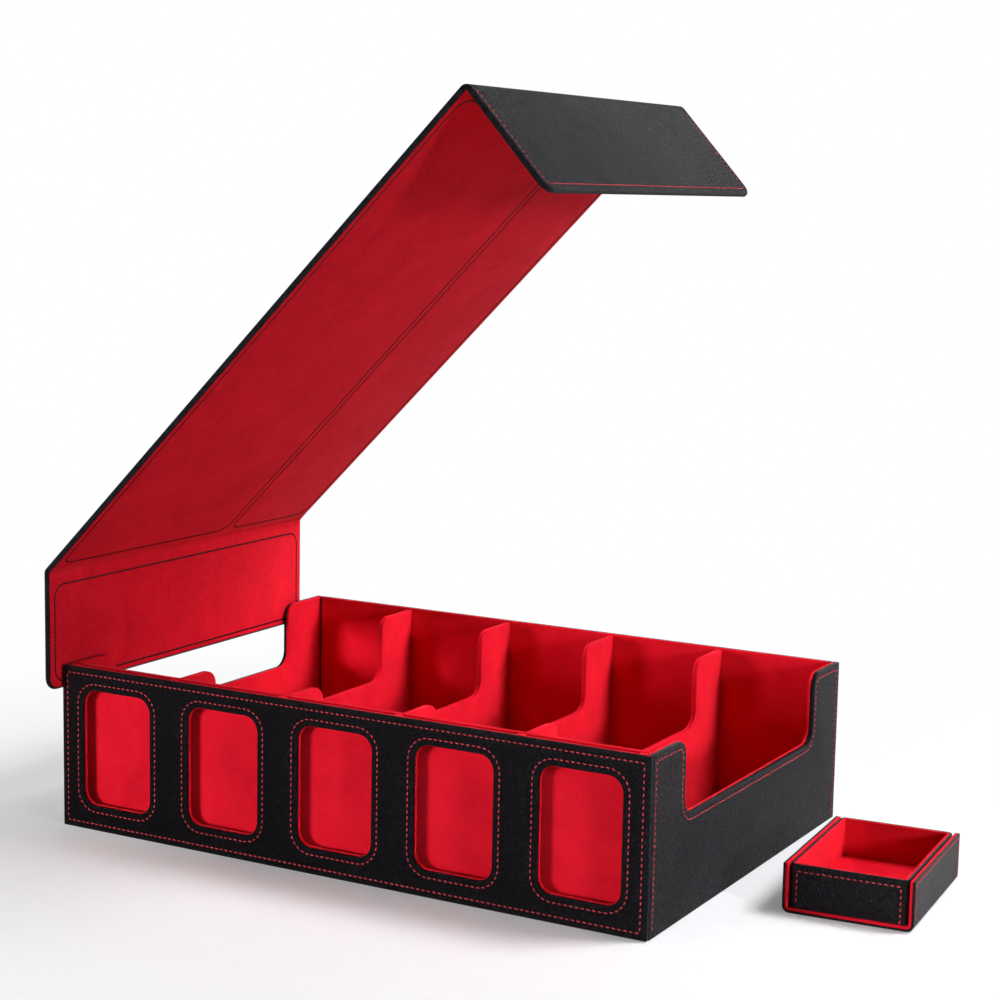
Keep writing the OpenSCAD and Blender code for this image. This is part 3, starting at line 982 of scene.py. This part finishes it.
        foot = low.z - 2 * STITCH_INSET
        tall = Outline((ends[0], foot), (ends[1], high.z), dip=dip)
        leather = self.sewn(thicken(tall.sheet(f"{name}_leather"), -depth, 0), depth)
        lay(smooth(trim(leather, low.z, None, BACKWARD)), place)
        self.wardrobe.dress(leather, "black_leather", "box", f"{name}_wall_skin")
        self.wall_lining(name, outline, depth, place)

        seam_foot = low.z + self.foot_gap
        line = Outline((ends[0] + STITCH_INSET, seam_foot), (ends[1] - STITCH_INSET, high.z - STITCH_INSET),
                       (0, 0, SEAM_CORNER, SEAM_CORNER), dip.inset(STITCH_INSET))
        seam = RED_THREAD.seam(line, f"{name}_seam", -self.groove_d, lambda middle: middle.y < seam_foot + MM)
        self.wardrobe.dress(lay(seam, place), "red_thread", "box", f"{name}_wall_stitching")

    def back(self) -> None:
        """The back wall."""
        low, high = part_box("back_wall_skin")
        depth = high.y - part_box("back_wall_lining")[0].y
        place = plane_matrix(Vector((0, high.y, 0)), -RIGHT, UP)
        outline = Outline((low.x, low.z), (high.x, high.z))

        leather = thicken(outline.sheet("back_leather"), -depth, 0)
        self.wardrobe.dress(lay(self.sewn(leather, depth), place), "black_leather", "box", "back_wall_skin")
        self.wall_lining("back", outline, depth, place)

        seam = RED_THREAD.seam(outline.inset(STITCH_INSET, SEAM_CORNER), "back_seam", -self.groove_d)
        self.wardrobe.dress(lay(seam, place), "red_thread", "box", "back_wall_stitching")

    def base(self) -> None:
        """The leather underside."""
        low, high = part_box("base_skin")
        place = plane_matrix(Vector((0, 0, low.z)), -RIGHT, BACKWARD)
        outline = Outline((-high.x, low.y), (-low.x, high.y))
        skin = thicken(outline.sheet("underside_leather"), low.z - high.z, 0)
        press_groove(skin, 0, self.base_line, self.groove_w, self.groove_d)
        round_rim(skin, (0,), self.base_rim, 2)
        self.wardrobe.dress(lay(smooth(skin), place), "black_leather", "box", "base_skin")


def hand_dip() -> Dip:
    """The hand dip that the side walls and the dividers share, seen along -X."""
    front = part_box("front_skin")[0].y
    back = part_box("right_wall_skin")[1].y
    return Dip(start=front + DIP_FROM_FRONT, end=back - DIP_FROM_BACK, floor=DIP_FLOOR)


@dataclass
class CardRows:
    """What parts the box inside: dividers, floor pads, the pocket wall and its spacers."""

    wardrobe: Wardrobe
    rim: float = 0.6 * MM
    pad_rim: float = 0.5 * MM
    dip_drop: float = 1.0 * MM
    strip_w: float = 5.0 * MM
    strip_drop: float = 0.3 * MM

    def build(self) -> None:
        """Builds and dresses every piece of the rows."""
        for number in range(1, 5):
            self.divider(number)
        self.floor()
        self.pocket_wall()
        self.spacers()

    def two_ply(self, outline: Outline, thickness: float, name: str) -> Object:
        """A board lined on both faces: two plies of suede that meet in a fine line along the edge."""
        near = thicken(outline.sheet(name), -thickness / 2, 0)
        far = thicken(outline.sheet("far_ply"), -thickness, -thickness / 2)
        for ply in (near, far):
            round_rim(ply, (0, -thickness / 2, -thickness), self.rim)
        return smooth(join([near, far], name))

    def divider(self, number: int) -> None:
        """One divider, with the same hand dip as the side walls."""
        node = f"divider_{number}"
        low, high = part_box(node)
        dip = hand_dip()
        lowered = replace(dip, floor=dip.floor - self.dip_drop)
        outline = Outline((low.y, low.z), (high.y, high.z), dip=lowered)
        obj = self.two_ply(outline, high.x - low.x, f"{node}_suede")
        lay(obj, plane_matrix(Vector((high.x, 0, 0)), BACKWARD, UP))
        self.wardrobe.dress(obj, "red_lining", "box", node)

    def blocks(self, fields: Sequence, z0: float, z1: float, rim: float, name: str) -> Object:
        """Plain blocks with round upper rims, one on each field, as one piece."""
        plates = (thicken(Outline(*corners).sheet("block"), z0, z1) for corners in fields)
        return smooth(join([round_rim(plate, (z1,), rim, 3) for plate in plates], name))

    def floor(self) -> None:
        """A suede pad on the floor of each row and of the pockets."""
        low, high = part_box("floor_lining")
        edges = [low.x, *(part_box(f"divider_{n}")[side].x for n in range(1, 5) for side in (0, 1)), high.x]
        row_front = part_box("divider_1")[0].y
        fields = [((x0, row_front), (x1, high.y)) for x0, x1 in zip(edges[0::2], edges[1::2])]
        fields.append(((low.x, low.y), (high.x, row_front)))
        obj = self.blocks(fields, low.z, high.z, self.pad_rim, "floor_pads")
        self.wardrobe.dress(obj, "red_lining", "box", "floor_lining")

    def pocket_wall(self) -> None:
        """The wall behind the windows, lined on both faces."""
        low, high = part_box("pocket_wall_lining")
        outline = Outline((low.x, low.z), (high.x, high.z))
        obj = self.two_ply(outline, high.y - low.y, "pocket_wall_suede")
        lay(obj, plane_matrix(Vector((0, low.y, 0)), RIGHT, UP))
        self.wardrobe.dress(obj, "red_lining", "box", "pocket_wall_lining")

    def spacers(self) -> None:
        """The strips that part one pocket from the next."""
        low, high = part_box("pocket_spacers")
        half = self.strip_w / 2
        centres = [low.x + half, *(sum(corner.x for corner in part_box(f"divider_{n}")) / 2
                                   for n in range(1, 5)), high.x - half]
        fields = [((x - half, low.y), (x + half, high.y)) for x in centres]
        obj = self.blocks(fields, low.z, high.z - self.strip_drop, self.rim, "pocket_strips")
        self.wardrobe.dress(obj, "red_lining", "box", "pocket_spacers")


# ---- The cover ----


@dataclass
class FoldLine:
    """One of the cover's fold lines, with the directions of the two panels that meet in it."""

    point: Vector
    before: Vector
    after: Vector
    outside_before: Vector
    outside_after: Vector


@dataclass
class CoverPanel:
    """A panel of the cover: X runs from its fold line, Z is its leather side."""

    wardrobe: Wardrobe
    node: str
    body: str
    place: Matrix
    start: float
    end: float
    depth: float
    free_r: float
    fields: Sequence[tuple[float, float]]
    groove_w: float = 1.6 * MM
    groove_d: float = 0.28 * MM
    lining_rim: float = 0.5 * MM
    field_r: float = 8.0 * MM
    spare: float = 2 * COVER_INSET
    seam_stop: float = 1.0 * MM

    def outline(self, inset: float = 0.0) -> Outline:
        """The panel's outline, drawn smaller by inset and made with spare length past its folds."""
        radius = max(self.free_r - inset, 0)
        far = self.end - inset if self.free_r else self.end + self.spare
        half = self.depth / 2 - inset
        return Outline((self.start - self.spare, -half), (far, half), (0, radius, radius, 0))

    def trimmed(self, plate: Object) -> Object:
        """Cuts a plate off at the panel's folds."""
        return smooth(trim(plate, self.start, None if self.free_r else self.end, RIGHT))

    def build(self) -> None:
        """Builds and dresses the panel's leather, lining and seams."""
        outer, inner = COVER_T / 2, -COVER_T / 2
        leather = thicken(self.outline().sheet(f"{self.node}_leather"), inner, outer)
        press_groove(leather, outer, COVER_INSET, self.groove_w, self.groove_d)
        round_rim(leather, (outer, inner), COVER_RIM, 5)
        lay(self.trimmed(leather), self.place)
        self.wardrobe.dress(leather, "black_leather", self.body, f"{self.node}_skin")

        proud = inner - LINING_PROUD
        lining = thicken(self.outline(COVER_BORDER).sheet(f"{self.node}_suede"), proud, inner + LINING_T)
        round_rim(lining, (proud,), self.lining_rim, 3)
        lay(self.trimmed(lining), self.place)
        self.wardrobe.dress(lining, "red_lining", self.body, f"{self.node}_lining")

        seam = lay(self.edge_seam(outer - self.groove_d), self.place)
        self.wardrobe.dress(seam, "red_thread", self.body, f"{self.node}_skin_stitching")

        lines = []
        for low, high in self.fields:
            ring = Outline((self.start + COVER_INSET, low), (self.end - COVER_INSET, high),
                           (self.field_r,) * 4)
            lines.append(BLACK_THREAD.seam(ring, "field_seam", inner))
        seam = lay(join(lines, f"{self.node}_field_seams"), self.place)
        self.wardrobe.dress(seam, "black_thread", self.body, f"{self.node}_lining_stitching")

    def edge_seam(self, z: float) -> Object:
        """The red seam along the panel's free edges; its folds are left unsewn."""
        half = self.depth / 2 - COVER_INSET
        start = self.start + self.seam_stop
        if self.free_r:
            radius = self.free_r - COVER_INSET
            line = Outline((start, -half), (self.end - COVER_INSET, half), (0, radius, radius, 0))
            return RED_THREAD.seam(line, f"{self.node}_seam", z, lambda middle: middle.x < start + MM)
        line = Outline((start, -half), (self.end - self.seam_stop, half))
        rows = [RED_THREAD.seam(line, "row", z, lambda middle, side=side: middle.y * side < half - MM)
                for side in (-1, 1)]
        return join(rows, f"{self.node}_seam")


@dataclass
class FoldingCover:
    """The folding cover: left flap, top panel and right flap, joined by two leather creases."""

    wardrobe: Wardrobe
    crease_half: float = 4.5 * MM
    free_r: float = 8.0 * MM
    seam_y: float = 39.0 * MM
    seam_gap: float = 6.0 * MM
    bend_r: float = 3.0 * MM
    steps: int = 10

    def joint(self, name: str) -> dict:
        """One of the frame's joints by name."""
        return next(joint for joint in frame["joints"] if joint["name"] == name)

    def build(self) -> None:
        """Builds the three panels and the two creases."""
        left = Vector(self.joint("cover_fold")["pos_m"])
        right = Vector(self.joint("flap_fold")["pos_m"])
        along = (right - left).normalized()
        skin_low, skin_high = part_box("left_flap_skin")
        depth = skin_high.y - skin_low.y
        flap_length = left.z - skin_low.z
        bend = math.radians(self.joint("flap_fold")["range_deg"][1])
        down = Matrix.Rotation(bend, 3, "Y") @ along
        half = depth / 2
        edge = COVER_INSET + COVER_BORDER
        whole = [(-half + edge, half - edge)]
        split = [(-half + edge, self.seam_y - self.seam_gap / 2),
                 (self.seam_y + self.seam_gap / 2, half - edge)]

        common = {"wardrobe": self.wardrobe, "depth": depth, "start": self.crease_half}
        CoverPanel(node="left_flap", body="left_flap", end=flap_length, free_r=self.free_r, fields=whole,
                   place=plane_matrix(left, -UP, -BACKWARD), **common).build()
        CoverPanel(node="top", body="top", end=(right - left).length - self.crease_half, free_r=0.0,
                   fields=split, place=plane_matrix(left, along, BACKWARD), **common).build()
        CoverPanel(node="right_flap", body="right_flap", end=flap_length, free_r=self.free_r, fields=whole,
                   place=plane_matrix(right, down, BACKWARD), **common).build()

        outside_top = along.cross(BACKWARD)
        self.crease("left", depth,
                    FoldLine(left, -UP, along, -RIGHT, outside_top))
        self.crease("right", depth,
                    FoldLine(right, -along, down, outside_top, down.cross(BACKWARD)))

    def crease(self, side: str, depth: float, fold: FoldLine) -> None:
        """The leather and the lining that run on over one fold line.

        Args:
            side: left or right.
            depth: length of the fold line.
            fold: where it is and how the panels meet.
        """
        start = fold.point + fold.before * self.crease_half
        end = fold.point + fold.after * self.crease_half
        leather = self.strip(fold, 0, COVER_T, depth, f"{side}_crease_leather")
        self.round_ends(leather, depth, (start, fold.before), (end, fold.after))
        self.wardrobe.dress(smooth(leather), "black_leather", "", f"{side}_crease")
        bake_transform(leather)

        lining = self.strip(fold, (LINING_T - COVER_T) / 2 - LINING_PROUD, LINING_T,
                            depth - 2 * COVER_BORDER, f"{side}_crease_suede")
        self.wardrobe.dress(smooth(lining), "red_lining", "")
        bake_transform(lining)

    def path(self, fold: FoldLine, out: float) -> list[Vector]:
        """A line across the fold, straight, then round a bend, then straight.

        Args:
            fold: the fold line.
            out: how far the line lies outside the panels' middle.

        Returns:
            The points of the line.
        """
        turn = fold.outside_before.angle(fold.outside_after)
        middle = (fold.outside_before + fold.outside_after).normalized()
        centre = fold.point - middle * (self.bend_r / math.cos(turn / 2))
        spokes = [fold.outside_before.slerp(fold.outside_after, step / self.steps)
                  for step in range(self.steps + 1)]
        return [fold.point + fold.before * self.crease_half + fold.outside_before * out,
                *(centre + spoke * (self.bend_r + out) for spoke in spokes),
                fold.point + fold.after * self.crease_half + fold.outside_after * out]

    def strip(self, fold: FoldLine, out: float, thickness: float, depth: float, name: str) -> Object:
        """A strip across a fold: an edge along Y, drawn along the path and given its thickness."""
        obj = sheet_along(self.path(fold, out), depth, name)
        give_ply(obj, thickness, 0.0)
        apply_modifiers(obj)
        with editing(obj):
            face_outwards()
        return obj

    def round_ends(self, strip: Object, depth: float, *joins: tuple[Vector, Vector]) -> None:
        """Rounds a strip's two outer ends as the panels' rims are, but not where it joins them."""
        middle = joins[0][0].y

        def at_end(edge: bmesh.types.BMEdge) -> bool:
            outer = all(abs(abs(v.co.y - middle) - depth / 2) < FLAT_TOL for v in edge.verts)
            joined = any(all(abs((v.co - point).dot(way)) < FLAT_TOL for v in edge.verts)
                         for point, way in joins)
            return outer and not joined and edge.calc_face_angle() > math.radians(60)

        with editing(strip, "EDGE"):
            pick(strip, "edges", at_end)
            bpy.ops.mesh.bevel(offset=COVER_RIM, segments=5, profile=0.5, affect="EDGES")


# ---- The small tray and its sleeve ----


@dataclass
class TraySet:
    """The small tray in its U-shaped sleeve, modelled about its own middle and then laid in place."""

    wardrobe: Wardrobe
    turn: float = math.radians(4.2)
    sleeve: tuple[float, float, float] = (73.5 * MM, 102.0 * MM, 28.2 * MM)
    wall: float = 3.0 * MM
    bend_r: float = 4.0 * MM
    bend_steps: int = 7
    skin: float = 1.3 * MM
    skin_rim: float = 0.45 * MM
    overlap: float = 0.15 * MM
    lining_short: float = 0.5 * MM
    lining_rim: float = 0.5 * MM
    seam_inset: float = 3.4 * MM
    seam_drop: float = 2.0 * MM
    seam_r: float = 1.2 * MM
    tray: tuple[float, float] = (66.0 * MM, 101.0 * MM)
    tray_r: float = 3.4 * MM
    tray_rim: float = 0.4 * MM
    tray_skin: float = 1.4 * MM
    tray_overlap: float = 0.05 * MM
    tray_lining: float = 1.6 * MM
    tray_seam_foot: float = 1.0 * MM
    tray_seam_r: float = 0.6 * MM

    def place(self, lift: float = 0.0) -> Matrix:
        """The set's place on the table, and the tray's within it."""
        low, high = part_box("sleeve_skin")
        middle = Vector(((low.x + high.x) / 2, (low.y + high.y) / 2, lift))
        return Matrix.Translation(middle) @ Matrix.Rotation(self.turn, 4, "Z")

    def build(self) -> None:
        """Builds and dresses the sleeve and the tray."""
        self.build_sleeve()
        self.build_tray()

    def u_shell(self, inset: float, thickness: float, length: float, rim: float, name: str) -> Object:
        """A sheet bent into a U, from an edge drawn round the section and given its thickness.

        Args:
            inset: how far the sheet's outer face lies inside the sleeve's.
            thickness: of the sheet.
            length: along Y.
            rim: radius of its edges.
            name: of the piece.

        Returns:
            The piece, about the sleeve's own middle.
        """
        half, height = self.sleeve[0] / 2 - inset, self.sleeve[2]
        r = self.bend_r - inset
        angles = [step / self.bend_steps * math.pi / 2 for step in range(self.bend_steps + 1)]
        right = [Vector((half - r + r * math.sin(a), 0, inset + r - r * math.cos(a))) for a in angles]
        right.append(Vector((half, 0, height)))
        obj = sheet_along([Vector((-p.x, 0, p.z)) for p in reversed(right)] + right, length, name)
        give_ply(obj, thickness, -1.0 if self.faces_out(obj) else 1.0)
        soften(obj, rim)
        with editing(obj):
            face_outwards()
        return smooth(obj)

    @staticmethod
    def faces_out(obj: Object) -> bool:
        """Whether the floor of a U-shaped sheet looks down."""
        floor = min(obj.data.polygons, key=lambda face: face.center.z)
        return floor.normal.z < 0

    def side_seams(self, line: Outline, sewn_from: float, out: Vector, along: Vector, name: str) -> Object:
        """Sews the same seam on two opposite faces.

        Args:
            line: the seam's line on a face.
            sewn_from: the height below which the line stays unsewn.
            out: from the middle to the face on the positive side.
            along: the line's X on that face.
            name: of both seams together.

        Returns:
            The seams as one piece.
        """
        seams = []
        for side in (-1, 1):
            seam = RED_THREAD.seam(line, "seam", 0.0, lambda middle: middle.y < sewn_from)
            seams.append(lay(seam, plane_matrix(out * side, along * side, UP)))
        return join(seams, name)

    def build_sleeve(self) -> None:
        """The sleeve's leather, lining and stitching."""
        width, length, height = self.sleeve
        leather = self.u_shell(0, self.skin, length, self.skin_rim, "sleeve_leather")
        self.wardrobe.dress(lay(leather, self.place()), "black_leather", "sleeve", "sleeve_skin")
        inset = self.skin - self.overlap
        lining = self.u_shell(inset, self.wall - inset, length - self.lining_short, self.lining_rim,
                              "sleeve_suede")
        self.wardrobe.dress(lay(lining, self.place()), "red_lining", "sleeve", "sleeve_lining")
        half = length / 2 - self.seam_inset
        line = Outline((-half, self.bend_r), (half, height - self.seam_drop),
                       (0, 0, self.seam_r, self.seam_r), segments=3)
        seam = self.side_seams(line, self.bend_r + MM, RIGHT * width / 2, BACKWARD, "sleeve_seams")
        self.wardrobe.dress(lay(seam, self.place()), "red_thread", "sleeve", "sleeve_stitching")

    def hollow(self, inset: float, z0: float, z1: float, wall: float, name: str) -> Object:
        """An open tray: a rounded block whose top is inset and pushed down.

        Args:
            inset: how far its outside lies inside the tray's.
            z0: height of its underside.
            z1: height of its rim.
            wall: thickness of its walls and floor.
            name: of the piece.

        Returns:
            The piece.
        """
        half_w, half_l = self.tray[0] / 2 - inset, self.tray[1] / 2 - inset
        outline = Outline((-half_w, -half_l), (half_w, half_l), (self.tray_r - inset,) * 4, segments=6)
        obj = thicken(outline.sheet(name), z0, z1)
        with editing(obj):
            pick(obj, "faces", lambda f: f.normal.z > FACES_UP)
            bpy.ops.mesh.inset(thickness=wall, depth=0)
            extrude(UP * (z0 + wall - z1))
        soften(obj, self.tray_rim)
        return smooth(obj)

    def build_tray(self) -> None:
        """The tray's leather, lining and stitching."""
        low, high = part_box("tray_skin")
        height = high.z - low.z
        place = self.place(low.z)
        leather = self.hollow(0, 0, height, self.tray_skin, "tray_leather")
        self.wardrobe.dress(lay(leather, place), "black_leather", "tray", "tray_skin")
        inset = self.tray_skin - self.tray_overlap
        lining = self.hollow(inset, inset, height, self.tray_lining, "tray_suede")
        self.wardrobe.dress(lay(lining, place), "red_lining", "tray", "tray_lining")
        half, foot = self.tray[0] / 2 - STITCH_INSET, self.tray_seam_foot
        line = Outline((-half, foot), (half, height - STITCH_INSET), (self.tray_seam_r,) * 4, segments=3)
        seam = self.side_seams(line, foot + 0.2 * MM, BACKWARD * self.tray[1] / 2, -RIGHT, "tray_seams")
        self.wardrobe.dress(lay(seam, place), "red_thread", "tray", "tray_stitching")


# ---- The studio ----


@dataclass
class Studio:
    """A pale floor, soft lights and the camera."""

    azimuth: float = math.radians(29.1033)
    pitch: float = math.radians(8.0994)
    roll: float = math.radians(1.1036)
    eye: tuple[float, float, float] = (0.655738, -1.128793, 0.387842)
    lens: float = 77.776
    backdrop: float = 1.5
    dark_side: float = 0.03
    floor_reflection_glow: float = 1.0
    floor_r: float = 6.0
    floor_drop: float = 0.3 * MM

    def build(self) -> None:
        """Sets up the whole studio."""
        self.camera()
        self.floor()
        self.lights()
        bpy.context.scene.view_settings.view_transform = "Standard"

    def camera(self) -> None:
        """The camera at the object's front right."""
        forward = Vector((-math.sin(self.azimuth) * math.cos(self.pitch),
                          math.cos(self.azimuth) * math.cos(self.pitch), -math.sin(self.pitch)))
        right = forward.cross(UP).normalized()
        up = right.cross(forward)
        tilted_right = right * math.cos(self.roll) + up * math.sin(self.roll)
        tilted_up = up * math.cos(self.roll) - right * math.sin(self.roll)
        data = bpy.data.cameras.new("camera")
        data.lens = self.lens
        data.sensor_width = 36.0
        data.clip_start = 0.05
        data.clip_end = 30.0
        camera = bpy.data.objects.new("camera", data)
        bpy.context.scene.collection.objects.link(camera)
        camera.matrix_world = plane_matrix(Vector(self.eye), tilted_right, tilted_up)
        bpy.context.scene.camera = camera

    def floor(self) -> None:
        """A pale floor that fades into the white of the background, and that glows white in reflections only to
        the right of the tray set: a painted reflection on the leather beside it.
        """
        deselect()
        bpy.ops.mesh.primitive_circle_add(vertices=64, radius=self.floor_r, fill_type="NGON",
                                          location=(0, 0, -self.floor_drop))
        floor = apply_place(bpy.context.object)
        floor.name = "studio_floor"
        material = bpy.data.materials.new("pale_floor")
        material.use_nodes = True
        material.node_tree.nodes.clear()
        tree = Tree(material.node_tree)
        coordinates = tree.add("ShaderNodeTexCoord").outputs["Object"]
        spot = tree.add("ShaderNodeMapping", None, Vector=coordinates, Location=(-0.1, 0.03, 0.0))
        reach = tree.add("ShaderNodeVectorMath", {"operation": "LENGTH"}, i0=spot.outputs[0]).outputs["Value"]
        fade = tree.remap(reach, 0.2, 0.66, 0.2, 1.0)
        mottle = tree.noise(coordinates, 60.0, 3.0)
        path = tree.add("ShaderNodeLightPath").outputs
        seen = path["Is Camera Ray"]
        # Seen only in glossy reflections, the floor past the tray set glows white: a painted reflection, not a
        # property of the floor.
        across = tree.add("ShaderNodeSeparateXYZ", None, Vector=coordinates).outputs["X"]
        bright = tree.remap(across, 0.29, 0.33, 0.0, self.floor_reflection_glow)
        glow_seen_in_reflections = tree.maths("MULTIPLY", path["Is Glossy Ray"], bright)
        pale = tree.blend(mottle, (0.86, 0.875, 0.9, 1), (0.89, 0.9, 0.92, 1))
        tone = tree.blend(seen, (0.32, 0.32, 0.33, 1), pale)
        matt = tree.add("ShaderNodeBsdfPrincipled", None, Base_Color=tone, Roughness=0.6)
        white = tree.add("ShaderNodeEmission", None, Strength=1.0)
        lit = tree.maths("MAXIMUM", tree.maths("MULTIPLY", fade, seen), glow_seen_in_reflections)
        mix = tree.add("ShaderNodeMixShader", None, Fac=lit, i1=matt.outputs[0], i2=white.outputs[0])
        tree.add("ShaderNodeOutputMaterial", None, Surface=mix.outputs[0])
        floor.data.materials.append(material)

    def lights(self) -> None:
        """A white backdrop, a soft key from the right, an overhead panel and a weak low fill in front."""
        world = bpy.data.worlds.new("white_room")
        bpy.context.scene.world = world
        world.use_nodes = True
        world.node_tree.nodes.clear()
        tree = Tree(world.node_tree)
        path = tree.add("ShaderNodeLightPath").outputs["Is Camera Ray"]
        seen = tree.add("ShaderNodeBackground", None, Color=(1, 1, 1, 1), Strength=1.0)
        where = tree.add("ShaderNodeTexCoord").outputs["Generated"]
        axes = tree.add("ShaderNodeSeparateXYZ", None, Vector=where)
        behind = tree.remap(axes.outputs["Y"], 0.3, 0.95, 0.0, 1.0)
        low = tree.remap(axes.outputs["Z"], 0.1, 0.5, 1.0, 0.24)
        level = tree.remap(tree.maths("MULTIPLY", behind, low), 0.0, 1.0, self.dark_side, self.backdrop)
        room = tree.add("ShaderNodeBackground", None, Color=(0.95, 0.96, 1, 1), Strength=level)
        mix = tree.add("ShaderNodeMixShader", None, Fac=path, i1=room.outputs[0], i2=seen.outputs[0])
        tree.add("ShaderNodeOutputWorld", None, Surface=mix.outputs[0])
        key = self.area("key", place=(2.19, -0.72, 0.58), target=(0.14, -0.02, 0.03), size=0.3, power=1.0)
        key.data.spread = math.radians(34)
        overhead = self.area("overhead", place=(1.42, 0.7, 2.1), target=(0, 0, 0.1), size=0.9, power=76.0)
        overhead.visible_glossy = False
        fill = self.area("front_fill", place=(-1.1, -1.7, 0.14), target=(0.1, -0.14, 0.05),
                         size=0.5, power=42.0)
        fill.visible_glossy = False

    def area(self, name: str, place: tuple, target: tuple, size: float, power: float) -> Object:
        """One square softbox.

        Args:
            name: the light's name.
            place: where it stands.
            target: what it points at.
            size: length of its side.
            power: in watts.

        Returns:
            The light's object.
        """
        data = bpy.data.lights.new(name, "AREA")
        data.size = size
        data.energy = power
        light = bpy.data.objects.new(name, data)
        bpy.context.scene.collection.objects.link(light)
        light.location = place
        light.rotation_euler = (Vector(target) - Vector(place)).to_track_quat("-Z", "Y").to_euler()
        return light


def main() -> None:
    """Builds the studio and the object, in order."""
    Studio().build()
    wardrobe = Wardrobe()
    wardrobe.dress_nodes()
    BoxShell(wardrobe).build()
    CardRows(wardrobe).build()
    FoldingCover(wardrobe).build()
    TraySet(wardrobe).build()


if __name__ == "__main__":
    main()
